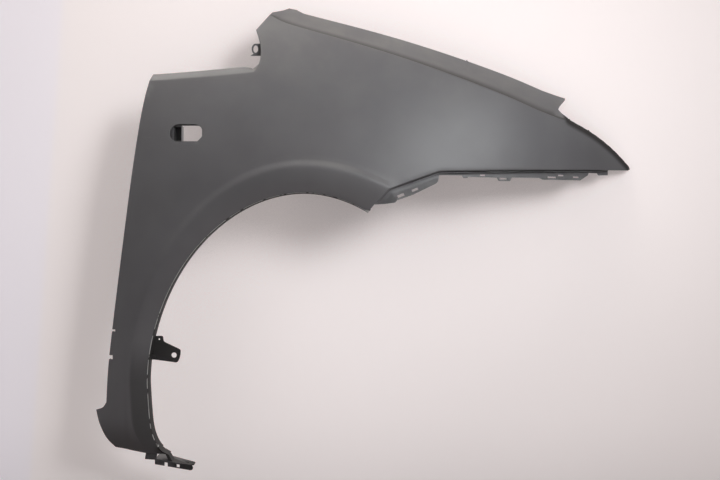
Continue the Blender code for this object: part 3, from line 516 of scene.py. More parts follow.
class Sheet:
    """The outer surface of the moulding as one open mesh, before it gets its wall."""

    def __init__(self):
        self.mesh = bmesh.new()

    def row(self, points):
        return [self.mesh.verts.new(point) for point in points]

    def patch(self, rows):
        """Joins rows of corners with faces. Corners that two rows share give a triangle or no face."""
        for first, second in zip(rows, rows[1:]):
            for i in range(len(first) - 1):
                corners = [first[i], first[i + 1], second[i + 1], second[i]]
                distinct = list(dict.fromkeys(corners))
                if len(distinct) > 2:
                    self.mesh.faces.new(distinct)

    def flange(self, strip, span, profile, side, bend=BEND):
        """A band along a span of an edge, bent over a small radius at each fold. The strip holds the edge's
        corners and the skin's corners beside them, and profile gives each corner's rows as (outward, along,
        inboard). Returns the folds' own places."""
        edge, inner = (row[span] for row in strip)
        outward, along = edge_directions([corner.co for corner in edge], side)
        columns, folds = [], []
        for i, (corner, beside) in enumerate(zip(edge, inner)):
            places = [np.array(beside.co), np.array(corner.co)]
            for out, forward, inboard in profile(i):
                place = places[1] + out * outward[i] + forward * along[i]
                places.append(place + np.array([0, inboard, 0]))
            share = min(1.0, i / FINE, (len(edge) - 1 - i) / FINE)
            columns.append(self.bent_column(corner, places, bend * share))
            folds.append(places[1:])
        self.patch(columns)
        return folds

    def bent_column(self, corner, places, bend):
        rows = []
        for before, place, after in zip(places, places[1:], places[2:]):
            rows += bent(before, place, after, bend)
        rows.append(places[-1])
        corner.co = rows[0]
        column = [corner]
        for last, row in zip(rows, rows[1:]):
            same = np.linalg.norm(row - last) < SAME_PLACE
            column.append(column[-1] if same else self.mesh.verts.new(row))
        return column


def bent(before, place, after, bend):
    """The places of a round fold, from the side before it to the side after it."""
    to_before, to_after = before - place, after - place
    lengths = np.linalg.norm(to_before), np.linalg.norm(to_after)
    reach = min(bend, FOLD_SHARE * lengths[0], FOLD_SHARE * lengths[1])
    if reach < LEAST_BEND:
        return [place] * (BEND_STEPS + 1)
    to_before, to_after = to_before / lengths[0], to_after / lengths[1]
    pull = math.sqrt(max(0.0, (1 - float(to_before @ to_after)) / 2))
    rows = []
    for t in np.linspace(0, 1, BEND_STEPS + 1):
        shares = np.array([(1 - t) ** 2, 2 * pull * t * (1 - t), t * t])
        shares = shares / shares.sum()
        rows.append(place + (to_before * shares[0] + to_after * shares[2]) * reach)
    return rows


def edge_directions(points, side):
    """At each corner of an edge, the directions across it and along it, both square to the inboard axis."""
    places = np.array([(point[0], point[2]) for point in points])
    along = np.gradient(places, axis=0)
    along = along / np.linalg.norm(along, axis=1)[:, None]
    outward = np.stack([-along[:, 1], along[:, 0]], axis=1) * side
    level = np.zeros(len(places))
    return (np.stack([outward[:, 0], level, outward[:, 1]], axis=1),
            np.stack([along[:, 0], level, along[:, 1]], axis=1))


def column_starts():
    """Rim and crest of the flare, column by column, from the sill to the front end of the arch."""
    rim = list(spline(LEG_RIM, LEG_COLUMNS * FINE))
    crest = list(spline(LEG_CREST, LEG_COLUMNS * FINE))
    spans = [
        (math.pi, WAIST_ANGLE, REAR_COLUMNS),
        (WAIST_ANGLE, LOBE_ANGLE, WAIST_COLUMNS),
        (LOBE_ANGLE, ARCH_FRONT_ANGLE, FRONT_ARCH_COLUMNS),
    ]
    for start, end, count in spans:
        for angle in np.linspace(start, end, count * FINE + 1)[1:]:
            rim.append(np.array(rim_place(angle)))
            crest.append(np.array(crest_place(angle)))
    return rim, crest


def lower_edge(start):
    """The places along the edge over the bumper, from the crest's front end to the tip."""
    front_columns = CHAMFER_COLUMNS + BONNET_COLUMNS + BONNET_END_COLUMNS + LAMP_COLUMNS
    level_columns = (front_columns - FRONT_ARCH_COLUMNS - SLOPE_COLUMNS) * FINE
    corner = np.array(BUMPER_CORNER)
    slope = even_steps(np.array([start, corner]), SLOPE_COLUMNS * FINE)[1:]
    level = even_steps(np.array([corner, BUMPER_FRONT]), level_columns)[1:]
    return list(slope) + list(level)


def chained(runs):
    """The places along several edges that follow on from each other."""
    places = []
    for points, count in runs:
        places.extend(spline(points, count * FINE)[1 if places else 0:])
    return places


LAMP_LINE = spline(LAMP_EDGE, LAMP_COLUMNS * EDGE_FINE)


def body_point(place):
    """The skin outside the flare, rolled inboard beside the headlamp."""
    to_lamp = float(np.linalg.norm(LAMP_LINE - np.array(place), axis=1).min())
    return skin_point(place, lamp_share=max(0.0, 1 - to_lamp / LAMP_ROLL_WIDTH))


def between(start, end, shares):
    start = np.array(start)
    end = np.array(end)
    return [start + (end - start) * share for share in shares]


def flare_patch(sheet, rim, crest):
    """Rows from the rim of the arch out to the crest of the flare."""
    rows = []
    for share in np.append(1 - edge_rows(0, 1, FLARE_ROWS)[::-1], 1.0):
        places = [start + (end - start) * share for start, end in zip(rim, crest)]
        rows.append(sheet.row([skin_point(place, rim_share=1 - share) for place in places]))
    sheet.patch(rows)
    return rows


def edge_rows(start, end, count):
    """Fine row places for so many of the layout's rows. The last is wide enough for the bend at the edge."""
    step = (end - start) / count
    even = np.linspace(start, end - step, (count - 1) * ROW + 1)[1:]
    return np.append(even, end - step + step * np.array(EDGE_STEPS))


def body_shares(start, end, beyond_flare):
    """Row places from the crest or lower edge to the outer edge. The first rows make the flare's fillet."""
    level = edge_rows(0, 1, BODY_ROWS + 1)
    if beyond_flare >= 1:
        level[0] = level[1] * FIRST_ROW_SHARE
        return level
    fillet = FLARE_FILLET / np.linalg.norm(np.array(end) - np.array(start))
    first = np.linspace(0, fillet, 2 * ROW + 1)[1:]
    beside = np.concatenate([first, edge_rows(fillet, 1, BODY_ROWS - 1)])
    return beside + (level - beside) * max(beyond_flare, 0)


def body_patch(sheet, first_row, starts, ends, flare_columns):
    """Rows from the crest and the lower edge to the rear edge, the waist and the foot of the lobe."""
    columns = []
    for i, (corner, start, end) in enumerate(zip(first_row, starts, ends)):
        shares = body_shares(start, end, (i - flare_columns + 1) / FINE)
        columns.append([corner] + sheet.row([body_point(place) for place in between(start, end, shares)]))
    sheet.patch(columns)
    return columns


def lobe_patch(sheet, first_row, starts, ends):
    """Rows from the foot of the lobe to the bonnet's edge. The first columns follow the lobe's rear edge."""
    rear = spline(LOBE_EDGE, LOBE_STEPS)
    chord = np.array(between(rear[0], rear[-1], np.linspace(0, 1, len(rear))))
    columns = []
    for i, (corner, start, end) in enumerate(zip(first_row, starts, ends)):
        length = np.linalg.norm(np.array(end) - np.array(start))
        last = 1 - min(EDGE_ROW / length, 1 / LOBE_ROWS)
        low = np.linspace(0, last, (LOBE_ROWS - 1) * ROW + 1)[1:]
        shares = np.append(low, last + (1 - last) * np.array(EDGE_STEPS))
        bow = 1 - float(smooth_step(i / (BOW_COLUMNS * FINE)))
        column = [corner]
        for share, place in zip(shares, between(start, end, shares)):
            at = share * (len(rear) - 1)
            bulge = [np.interp(at, range(len(rear)), (rear - chord)[:, k]) for k in (0, 1)]
            column += sheet.row([body_point(place + np.array(bulge) * bow)])
        columns.append(column)
    sheet.patch(columns)
    return columns


def lobe_foot(starts, ends):
    """Where the body rows end below the lobe: a line that leaves the waist's corner and runs forward."""
    corner = np.array(LOBE_EDGE[0])
    count = len(starts) - 1
    line = [start + (end - start) * LOBE_FOOT_SHARE for start, end in zip(starts, ends)]
    shift = corner - line[0]
    return [place + shift * (1 - i / count) ** 3 for i, place in enumerate(line)]


def skin(sheet):
    """The painted face, as three patches that share their edges. Returns the corners along each edge."""
    rim, crest = column_starts()
    starts = crest + lower_edge(crest[-1])
    outer = chained([
        (SILL_END, SILL_END_COLUMNS),
        (SILL_STEP, SILL_STEP_COLUMNS),
        (REAR_EDGE, REAR_COLUMNS),
        (WAIST_EDGE, WAIST_COLUMNS),
    ])
    top = chained([
        (LOBE_CHAMFER, CHAMFER_COLUMNS),
        (BONNET_EDGE, BONNET_COLUMNS),
        (BONNET_END, BONNET_END_COLUMNS),
        (LAMP_EDGE, LAMP_COLUMNS),
    ])
    turn = len(outer) - 1
    foot = lobe_foot(starts[turn:], top)
    flare_rows = flare_patch(sheet, rim, crest)
    lower = sheet.row([body_point(place) for place in starts[len(crest):]])
    body = body_patch(sheet, flare_rows[-1] + lower, starts, outer + foot[1:], len(crest))
    lobe = lobe_patch(sheet, [column[-1] for column in body[turn:]], foot, top)
    flare_end, flare_beside = last_two(flare_rows)
    low_beside = [column[1] for column in body[len(crest):]]
    leg_end = [row[0] for row in flare_rows[-2::-1]]
    leg_beside = [row[1] for row in flare_rows[-2::-1]]
    return {
        "rim": (flare_rows[0], flare_rows[1]),
        "bumper": (flare_end + lower, flare_beside + low_beside),
        "sill": (body[0][::-1] + leg_end, body[1][::-1] + leg_beside),
        "rear": last_two(body[:turn + 1]),
        "lobe_rear": (lobe[0][1:], lobe[1][1:]),
        "top": last_two(lobe),
    }


def last_two(lines):
    """The last corner of each line of corners, and the one beside it."""
    return [line[-1] for line in lines], [line[-2] for line in lines]


def plain_return(depth):
    """The profile of a return that runs straight inboard."""
    return lambda i: [(0, 0, depth)]


def arch_flange(sheet, rim):
    """The return that faces the wheel. Its lower end is cut back a little, clear of the rolled skin."""
    def profile(i):
        return [(0, WALL * max(0.0, 1 - i / FINE), ARCH_FLANGE)]

    sheet.flange(rim, slice(FINE, None), profile, -1)


def rear_flange(sheet, rear):
    """The returns along the sill's end and the door gap. The step and the waist's corner have none."""
    sill_end = slice(FINE, (SILL_END_COLUMNS - 2) * FINE + 1)
    door_gap = slice((LEG_COLUMNS + 1) * FINE, (LEG_COLUMNS + REAR_COLUMNS - 1) * FINE + 1)
    sheet.flange(rear, sill_end, plain_return(SILL_FLANGE), 1)
    sheet.flange(rear, door_gap, plain_return(REAR_FLANGE), 1)


def waist_flange(sheet, waist, lobe_rear):
    """The band under the windscreen pillar. It fades in the hollow below the lobe into a plain return."""
    strip = [first + second[:-ROW] for first, second in zip(waist, lobe_rear)]
    turn = WAIST_COLUMNS * FINE

    def profile(i):
        column = i / FINE if i <= turn else WAIST_COLUMNS + (i - turn) / ROW
        faded = (column - WAIST_COLUMNS + WAIST_FADE_START) / WAIST_FADE_COLUMNS
        cut_back = WAIST_BAND_RISE / 2 * max(0.0, 1 - column)
        rise = WAIST_BAND_RISE * (1 - float(smooth_step(faded)))
        return [(rise, cut_back, WAIST_BAND_DEPTH), (rise, cut_back, WAIST_BAND_DEPTH + WAIST_FLANGE)]

    sheet.flange(strip, slice(None), profile, 1)


def bonnet_rebate(sheet, top):
    """The rebate that the bonnet's edge sits over: a step in, a sloping band and a level flange behind it."""
    last = BONNET_COLUMNS + BONNET_END_COLUMNS
    span = slice(CHAMFER_COLUMNS * FINE, (CHAMFER_COLUMNS + last) * FINE + 1)
    first_end = last - len(REBATE_END_SHARES) + 1
    knots = list(range(len(REBATE_START_SHARES) + 1)) + list(range(first_end, last + 1))
    shares = REBATE_START_SHARES + [1.0] + REBATE_END_SHARES

    def profile(i):
        column = i / FINE
        share = float(np.interp(column, knots, shares))
        if share == 0:
            return [(0, 0, 0)] * 4
        nose = REBATE_NOSE * max(0.0, 1 - abs(column - first_end - 1))
        rise = (REBATE_RISE_REAR + (REBATE_RISE_FRONT - REBATE_RISE_REAR) * column / last) * share
        step = REBATE_STEP * min(share, 1.0)
        depth = REBATE_DEPTH * share
        flange = RAIL_FLANGE * min(1.0, max(0.0, 1 - column + first_end))
        return [
            (0, 0, step),
            (rise * BAND_RISE_SHARE, nose * BAND_RISE_SHARE, step + depth * BAND_DEPTH_SHARE),
            (rise, nose, step + depth),
            (rise, nose, step + depth + flange),
        ]

    return sheet.flange(top, span, profile, 1, CREASE_BEND)


def lamp_flange(sheet, top):
    span = slice(-LAMP_COLUMNS * FINE - 1, -TIP_COLUMNS * FINE)
    sheet.flange(top, span, plain_return(LAMP_FLANGE), 1)


def bumper_flange(sheet, bumper):
    """The joggled flange that carries the bumper's corner: a ledge inboard, then a plate down."""
    def profile(i):
        tilt_start = (TAB_TILT_START, 0, LEDGE_DEPTH + EDGE_ROUND / 2)
        return [(0, 0, LEDGE_DEPTH), tilt_start, (BUMPER_PLATE, 0, LEDGE_DEPTH - TAB_TILT)]

    sheet.flange(bumper, slice(ROW, -TIP_COLUMNS * FINE), profile, -1)


def sill_flange(sheet, sill):
    """The return under the leg, plain below the door's corner and joggled into a lip below the flare."""
    crest = len(sill[0]) - FLARE_ROWS * ROW - 1

    def joggled(i):
        return [(0, 0, SILL_LIP_STEP), (SILL_LIP, 0, SILL_LIP_STEP + EDGE_ROUND)]

    sheet.flange(sill, slice(ROW, crest - ROW + 1), plain_return(SILL_FLANGE), -1)
    sheet.flange(sill, slice(crest, -2 * ROW), joggled, -1)


def build_sheet():
    """The skin with its flanges. Returns its mesh and the folds of the bonnet rebate."""
    sheet = Sheet()
    edges = skin(sheet)
    sheet.mesh.verts.ensure_lookup_table()
    arch_flange(sheet, edges["rim"])
    rear_flange(sheet, edges["rear"])
    first_waist = (LEG_COLUMNS + REAR_COLUMNS) * FINE
    waist_flange(sheet, [line[first_waist:] for line in edges["rear"]], edges["lobe_rear"])
    rail = bonnet_rebate(sheet, edges["top"])
    lamp_flange(sheet, edges["top"])
    bumper_flange(sheet, edges["bumper"])
    sill_flange(sheet, edges["sill"])
    bmesh.ops.recalc_face_normals(sheet.mesh, faces=sheet.mesh.faces)
    sheet.mesh.faces.ensure_lookup_table()
    if sheet.mesh.faces[0].normal.y > 0:
        bmesh.ops.reverse_faces(sheet.mesh, faces=sheet.mesh.faces)
    return sheet.mesh, rail


def rounded(outline, radius, steps=3):
    """The outline with each corner turned into an arc of about the radius."""
    corners = [np.array(corner, float) for corner in outline]
    result = []
    for i, corner in enumerate(corners):
        to_last = corners[i - 1] - corner
        to_next = corners[(i + 1) % len(corners)] - corner
        lengths = np.linalg.norm(to_last), np.linalg.norm(to_next)
        reach = min(radius, CORNER_SHARE * lengths[0], CORNER_SHARE * lengths[1])
        start = corner + to_last / lengths[0] * reach
        end = corner + to_next / lengths[1] * reach
        for t in np.linspace(0, 1, steps + 1):
            result.append((1 - t) ** 2 * start + 2 * t * (1 - t) * corner + t ** 2 * end)
    return result


def ellipse(centre, width, height, sides=16):
    angles = np.linspace(0, 2 * math.pi, sides, endpoint=False)
    return [(centre[0] + width / 2 * math.cos(a), centre[1] + height / 2 * math.sin(a)) for a in angles]


def circle(centre, diameter, sides=16):
    return ellipse(centre, diameter, diameter, sides)


def stadium(centre, length, height, steps=7):
    """An outline with straight sides and round ends."""
    reach = (length - height) / 2
    outline = []
    for side in (1, -1):
        for angle in np.linspace(-math.pi / 2, math.pi / 2, steps + 1):
            outline.append((centre[0] + side * (reach + height / 2 * math.cos(angle)),
                            centre[1] + side * height / 2 * math.sin(angle)))
    return outline


def turned(outline, centre, angle):
    """The outline turned round a place."""
    cosine, sine = math.cos(angle), math.sin(angle)
    return [(centre[0] + (x - centre[0]) * cosine - (z - centre[1]) * sine,
             centre[1] + (x - centre[0]) * sine + (z - centre[1]) * cosine) for x, z in outline]


def rectangle(centre, length, height):
    x, z = centre
    return [(x - length / 2, z - height / 2), (x + length / 2, z - height / 2),
            (x + length / 2, z + height / 2), (x - length / 2, z + height / 2)]


def solid(rings):
    """A closed solid through rings that have the same number of corners."""
    mesh = bmesh.new()
    corners = [[mesh.verts.new(place) for place in ring] for ring in rings]
    mesh.faces.new(corners[0])
    mesh.faces.new(corners[-1][::-1])
    for near, far in zip(corners, corners[1:]):
        for i in range(len(near)):
            j = (i + 1) % len(near)
            mesh.faces.new([near[j], near[i], far[i], far[j]])
    bmesh.ops.recalc_face_normals(mesh, faces=mesh.faces)
    return mesh


def inboard_prism(outline, near, far):
    """An outline in side view, carried inboard from near to far. near may be a function of the place."""
    start = [(x, near((x, z)) if callable(near) else near, z) for x, z in outline]
    end = [(x, far((x, z)) if callable(far) else far, z) for x, z in outline]
    return solid([start, end])


def upright_prism(outline, bottom, top):
    """An outline in plan view, carried up from bottom to top."""
    return solid([[(x, y, level) for x, y in outline] for level in (bottom, top)])


class Moulding:
    """The panel and the shapes that are fused to it or cut from it."""

    def __init__(self, panel):
        self.panel = panel
        self.helpers = []

    def apply(self, name, geometry, operation):
        helper = new_object(name, geometry)
        helper.hide_render = True
        self.helpers.append(helper)
        step = self.panel.modifiers.new(name, "BOOLEAN")
        step.object = helper
        step.operation = operation
        step.solver = "MANIFOLD"

    def fuse(self, name, outline, near, far):
        """Adds an outline in side view, carried inboard from near to far."""
        self.apply(name, inboard_prism(outline, near, far), "UNION")

    def cut(self, name, outline, near, far):
        self.apply(name, inboard_prism(outline, near, far), "DIFFERENCE")

    def result(self):
        """The finished mesh in the scene's own frame. The panel and its helpers go."""
        bpy.context.view_layer.update()
        finished = self.panel.evaluated_get(bpy.context.evaluated_depsgraph_get())
        mesh = bpy.data.meshes.new_from_object(finished)
        mesh.transform(self.panel.matrix_world)
        for helper in self.helpers + [self.panel]:
            bpy.data.objects.remove(helper, do_unlink=True)
        return mesh


def skin_depth(place):
    return float(skin_point(place)[1])


def inside_wall(place):
    return skin_depth(place) + WALL / 2


def outside_skin(place):
    return skin_depth(place) - WALL * 2


def add_repeater(moulding):
    """The side repeater's pocket: a cup behind the skin, open to the front, with a window in its floor."""
    floor = skin_depth(REPEATER_CENTRE) + POCKET_DEPTH
    cup = stadium(REPEATER_CENTRE, REPEATER_LENGTH + 2 * WALL, REPEATER_HEIGHT + 2 * WALL)
    moulding.fuse("repeater_cup", cup, inside_wall, floor + WALL)
    pocket = stadium(REPEATER_CENTRE, REPEATER_LENGTH, REPEATER_HEIGHT)
    moulding.cut("repeater_pocket", pocket, outside_skin, floor)
    front = REPEATER_CENTRE[0] + REPEATER_LENGTH / 2 - WINDOW_FRONT_MARGIN
    rear = front - WINDOW_LENGTH
    low = REPEATER_CENTRE[1] - WINDOW_HEIGHT / 2
    high = REPEATER_CENTRE[1] + WINDOW_HEIGHT / 2
    window = [
        (rear, low), (front - WINDOW_CHAMFER, low), (front, low + WINDOW_CHAMFER),
        (front, high - WINDOW_CHAMFER / 2), (front - WINDOW_CHAMFER / 2, high), (rear, high),
    ]
    moulding.cut("repeater_window", window, floor - WALL, floor + 2 * WALL)
    add_hook_slot(moulding, floor)


def arch_place_at(z):
    """Where the rim of the arch is at a height above the datum, behind the wheel."""
    share = (z / ARCH_HEIGHT) ** ARCH_POWER
    return -ARCH_HALF_WIDTH * (1 - share) ** (1 / ARCH_POWER)


def add_hook_slot(moulding, floor):
    """The deep slot at the rear end of the pocket's floor, in a thin case of its own."""
    rear, front = HOOK_SLOT
    middle = ((rear + front) / 2, REPEATER_CENTRE[1])
    case = rectangle(middle, front - rear + 2 * HOOK_SLOT_WALL, HOOK_SLOT_HEIGHT + 2 * HOOK_SLOT_WALL)
    moulding.fuse("hook_case", case, floor + WALL / 2, floor + HOOK_SLOT_DEPTH + HOOK_SLOT_WALL)
    slot = rectangle(middle, front - rear, HOOK_SLOT_HEIGHT)
    moulding.cut("hook_slot", slot, floor - WALL, floor + HOOK_SLOT_DEPTH)


def arch_root(z):
    """Where a bracket starts on the arch flange, half a wall into it."""
    return arch_place_at(z) - WALL / 2, z


def add_bracket(moulding):
    """The plate for the arch liner at the flange's inner end, with its bolt hole, its ear and its boss."""
    far = skin_depth((arch_place_at(BRACKET_BOTTOM), BRACKET_BOTTOM)) + FLARE_ROLL + ARCH_FLANGE
    near = far - BRACKET_THICKNESS
    root = arch_root(BRACKET_BOTTOM)
    plate = rounded([root] + BRACKET_NOSE + [arch_root(BRACKET_TOP)], BRACKET_CORNER)
    moulding.fuse("liner_bracket", plate, near, far)
    boss_top = BRACKET_BOTTOM + BRACKET_BOSS_HEIGHT
    boss = [
        root,
        (root[0] + BRACKET_BOSS_REACH, BRACKET_BOTTOM),
        (root[0] + BRACKET_BOSS_REACH, BRACKET_BOTTOM + BRACKET_BOSS_HEIGHT / 2),
        (root[0] + BRACKET_BOSS_REACH / 2, boss_top),
        arch_root(boss_top),
    ]
    moulding.fuse("bracket_boss", boss, far - BRACKET_BOSS, near + BRACKET_THICKNESS / 2)
    bolt = circle(BRACKET_BOLT_PLACE, BRACKET_BOLT, sides=20)
    moulding.cut("bracket_bolt_hole", bolt, near - BRACKET_THICKNESS, far + BRACKET_THICKNESS)
    ear = circle(BRACKET_EAR_PLACE, BRACKET_EAR_HOLE, sides=10)
    moulding.cut("bracket_ear_hole", ear, near - BRACKET_THICKNESS, far + BRACKET_THICKNESS)


def lobe_rear_at(z):
    edge = spline(LOBE_EDGE, LOBE_ROWS * EDGE_FINE)
    return float(np.interp(z, edge[:, 1], edge[:, 0]))


def add_eye(moulding):
    """A loop in side view, fused to the return along the lobe's rear edge."""
    near = skin_depth((lobe_rear_at(EYE_CENTRE[1]), EYE_CENTRE[1])) + EYE_SET_BACK
    width = EYE_HOLE_WIDTH + 2 * EYE_RIM
    height = EYE_HOLE_HEIGHT + 2 * EYE_RIM
    top = EYE_CENTRE[1] + height / 2
    low = EYE_HEEL[1]
    loop = [place for place in ellipse(EYE_CENTRE, width, height, sides=24) if place[0] < EYE_CENTRE[0]]
    outline = [(lobe_rear_at(top) + WALL / 2, top), (EYE_CENTRE[0], top)]
    outline += [place for place in loop if place[1] > low + EYE_RIM]
    outline += [EYE_HEEL, (lobe_rear_at(low) + WALL / 2, low)]
    moulding.fuse("locating_eye", outline, near, near + EYE_THICKNESS)
    hole = ellipse(EYE_CENTRE, EYE_HOLE_WIDTH, EYE_HOLE_HEIGHT, sides=18)
    moulding.cut("eye_hole", hole, near - EYE_THICKNESS, near + 2 * EYE_THICKNESS)


def add_foot(moulding):
    """The shelf that runs forward from under the leg, its lip, and the riser up to the arch flange."""
    start_x, start_z = FOOT_START
    front = start_x + FOOT_LENGTH
    fall = -math.tan(FOOT_SLOPE)
    near = skin_depth(LEG_RIM[0]) + SILL_LIP_STEP

    def sloped(outline):
        return [(x, start_z + z + (x - start_x) * fall) for x, z in outline]

    lip = [(start_x, 0.0), (start_x, -FOOT_LIP)] + nose_arc((front - FOOT_LIP / 2, -FOOT_LIP), FOOT_LIP)
    moulding.fuse("foot_lip", sloped(lip), near, near + WALL)
    plan = [
        (start_x, near + WALL / 2),
        (front - FOOT_LIP / 2, near + WALL / 2),
        (front, near + WALL / 2 + FOOT_LIP),
        (front, near + FOOT_FRONT_DEPTH),
        (start_x + FOOT_LENGTH / 4, near + FOOT_REAR_DEPTH),
        (start_x, near + FOOT_REAR_DEPTH),
    ]
    top = [(x, y, start_z + (x - start_x) * fall) for x, y in plan]
    bottom = [(x, y, z - WALL) for x, y, z in top]
    moulding.apply("foot_shelf", solid([bottom, top]), "UNION")
    riser_foot = sloped([(x + RISER_LENGTH, -WALL / 2) for x, z in RISER_TOP[::-1]])
    riser_far = near - SILL_LIP_STEP + ARCH_FLANGE
    moulding.fuse("foot_riser", RISER_TOP + riser_foot, near + WALL, riser_far)
    window = rectangle((start_x + FOOT_WINDOW_FROM_START, -FOOT_WINDOW_DROP), FOOT_WINDOW, FOOT_WINDOW)
    moulding.cut("foot_window", sloped(window), near - WALL, near + 2 * WALL)
    gap = rectangle((start_x + FOOT_GAP_FROM_START, -FOOT_GAP_DROP - FOOT_LIP / 2), FOOT_GAP, FOOT_LIP)
    moulding.cut("foot_gap", sloped(gap), near - WALL, near + 2 * WALL)
    bolt_x = front - FOOT_BOLT_FROM_END
    bolt = circle((bolt_x, near + FOOT_FRONT_DEPTH / 2 + WALL), FOOT_BOLT)
    level = start_z + (bolt_x - start_x) * fall
    hole = upright_prism(bolt, level - 3 * WALL, level + 3 * WALL)
    moulding.apply("foot_bolt_hole", hole, "DIFFERENCE")


def add_foot_web(moulding):
    """Carries the lower end of the arch flange on to the foot's riser."""
    rim = [(float(x), float(z)) for x, z in spline(LEG_RIM, WEB_COLUMNS)[:WEB_PLACES]]
    lifted = [(x + WEB_LIFT[0], z + WEB_LIFT[1]) for x, z in rim[::-1]]
    moulding.fuse("foot_web", rim + lifted, inside_wall, lambda place: skin_depth(place) + ARCH_FLANGE)


def add_seal_rib(moulding):
    """The thin rib under the skin's lower edge, which the bumper's seal lies against."""
    edge = [body_point(place) for place in lower_edge(crest_place(ARCH_FRONT_ANGLE))]
    outward = edge_directions(edge, -1)[0]
    low, high = RIB_DROP, RIB_DROP + RIB_THICKNESS
    inner = LEDGE_DEPTH + WALL / 2
    section = [(low, RIB_INSET), (high, RIB_INSET), (high, inner), (low, inner)]
    rings = []
    for place, across in list(zip(edge, outward))[2 * FINE:-(TIP_COLUMNS + 1) * FINE]:
        rings.append([place + out * across + np.array([0, inboard, 0]) for out, inboard in section])
    moulding.apply("seal_rib", solid(rings), "UNION")


def add_flash(moulding, rail):
    """Small teeth of flash along the parting line, on the rebate's top edge and beside the headlamp."""
    for i, x in enumerate(RAIL_FLASH):
        y, z = band_place(rail, x)
        tooth = [(x - FLASH, z - FLASH), (x - FLASH / 2, z + FLASH), (x + FLASH, z - FLASH)]
        moulding.fuse(f"rail_flash_{i + 1}", tooth, y - EDGE_ROUND / 2, y + EDGE_ROUND)
    for i, share in enumerate(LAMP_FLASH):
        x, z = LAMP_LINE[int(share * (len(LAMP_LINE) - 1))]
        y = body_point((x, z))[1]
        tooth = [(x - FLASH, z - FLASH / 2), (x, z + FLASH * LAMP_FLASH_RISE), (x + FLASH, z - FLASH)]
        moulding.fuse(f"lamp_flash_{i + 1}", tooth, y, y + EDGE_ROUND)


def trim_rebate(moulding):
    """Squares off the front end of the rebate."""
    moulding.cut("rebate_end", REBATE_TRIM, 0.0, skin_depth(BONNET_EDGE[-1]) + 3 * REBATE_DEPTH)


def nose_arc(low, height, steps=8):
    """A half circle from a low corner forward and up to the corner above it."""
    angles = np.linspace(-math.pi / 2, math.pi / 2, steps + 1)
    return [(low[0] + height / 2 * math.cos(a), low[1] + height / 2 * (1 + math.sin(a))) for a in angles]


def fold_place(rail, x, fold):
    """The depth and the height of one of the rebate's folds, at x."""
    line = np.array([column[fold] for column in rail])
    return [float(np.interp(x, line[:, 0], line[:, axis])) for axis in (1, 2)]


def band_place(rail, x, level=None):
    """The rebate's top edge at x or, given a level, the place on its sloping face at that height."""
    top_y, top_z = fold_place(rail, x, TOP_FOLD)
    if level is None:
        return top_y, top_z
    middle_y, middle_z = fold_place(rail, x, MIDDLE_FOLD)
    share = (top_z - level) / (top_z - middle_z)
    return top_y + (middle_y - top_y) * share, level


def add_rail_pads(moulding, rail):
    """The pads on the wing rail, each just below the rebate's top edge at the pad's lower end."""
    for i, x in enumerate(PAD_PLACES):
        rear, front = x - PAD_LENGTH / 2, x + PAD_LENGTH / 2
        level = band_place(rail, front)[1] - PAD_DROP
        edge = band_place(rail, x)[0]
        inner = edge + PAD_REACH
        plan = [(end, band_place(rail, end, level)[0] + WALL / 2) for end in (rear, front)]
        plan += [(front, inner - PAD_CORNER), (front - PAD_CORNER, inner)]
        plan += [(rear + PAD_CORNER, inner), (rear, inner - PAD_CORNER)]
        moulding.apply(f"rail_pad_{i + 1}", upright_prism(plan, level - WALL, level), "UNION")
        bolt = circle((x, edge + PAD_BOLT_REACH), PAD_BOLT, sides=14)
        hole = upright_prism(bolt, level - 2 * WALL, level + WALL)
        moulding.apply(f"rail_bolt_hole_{i + 1}", hole, "DIFFERENCE")


def shape_bumper_plate(moulding):
    """Cuts the bumper plate back to its tabs, and its clip slots."""
    outline = TAB_OUTLINE + [
        (TAB_CLEAR_FRONT, TAB_OUTLINE[-1][1]),
        (TAB_CLEAR_FRONT, TAB_CLEAR_BOTTOM),
        (TAB_OUTLINE[0][0], TAB_CLEAR_BOTTOM),
    ]
    rear = skin_depth(TAB_OUTLINE[0]) - LEDGE_DEPTH
    moulding.cut("bumper_tabs", outline, rear, skin_depth(BUMPER_FRONT) + 4 * LEDGE_DEPTH)
    for i, (x, z, length, height, slope) in enumerate(CLIP_SLOTS):
        slot = turned(rectangle((x, z), length, height), (x, z), math.radians(slope))
        near = skin_depth((x, z)) + LEDGE_DEPTH - 3 * WALL
        moulding.cut(f"clip_slot_{i + 1}", slot, near, near + 9 * WALL)


def notch_rear_edge(moulding):
    for i, (place, reach, height) in enumerate(REAR_NOTCHES):
        notch = rectangle(place, 2 * reach, height)
        moulding.cut(f"rear_notch_{i + 1}", notch, outside_skin, REAR_FLANGE * 2)


def linked(name, data):
    """A new object in the scene."""
    obj = bpy.data.objects.new(name, data)
    bpy.context.scene.collection.objects.link(obj)
    return obj


def new_object(name, geometry):
    mesh = bpy.data.meshes.new(name)
    geometry.to_mesh(mesh)
    geometry.free()
    obj = linked(name, mesh)
    obj.location = DATUM
    return obj


def make_shell():
    """The whole moulding as one fine mesh."""
    geometry, rail = build_sheet()
    panel = new_object("sheet", geometry)
    wall = panel.modifiers.new("wall", "SOLIDIFY")
    wall.thickness = SHELL_WALL
    wall.offset = -1
    wall.use_quality_normals = True
    moulding = Moulding(panel)
    add_repeater(moulding)
    add_bracket(moulding)
    add_eye(moulding)
    add_foot(moulding)
    add_foot_web(moulding)
    add_rail_pads(moulding, rail)
    add_seal_rib(moulding)
    shape_bumper_plate(moulding)
    add_flash(moulding, rail)
    trim_rebate(moulding)
    notch_rear_edge(moulding)
    final = moulding.result()
    final.materials.clear()
    for face in final.polygons:
        face.material_index = 0
    final.shade_smooth()
    final.set_sharp_from_angle(angle=SHARP_ANGLE)
    mark_painted_light(final, rail)
    return linked("fender_shell", final)


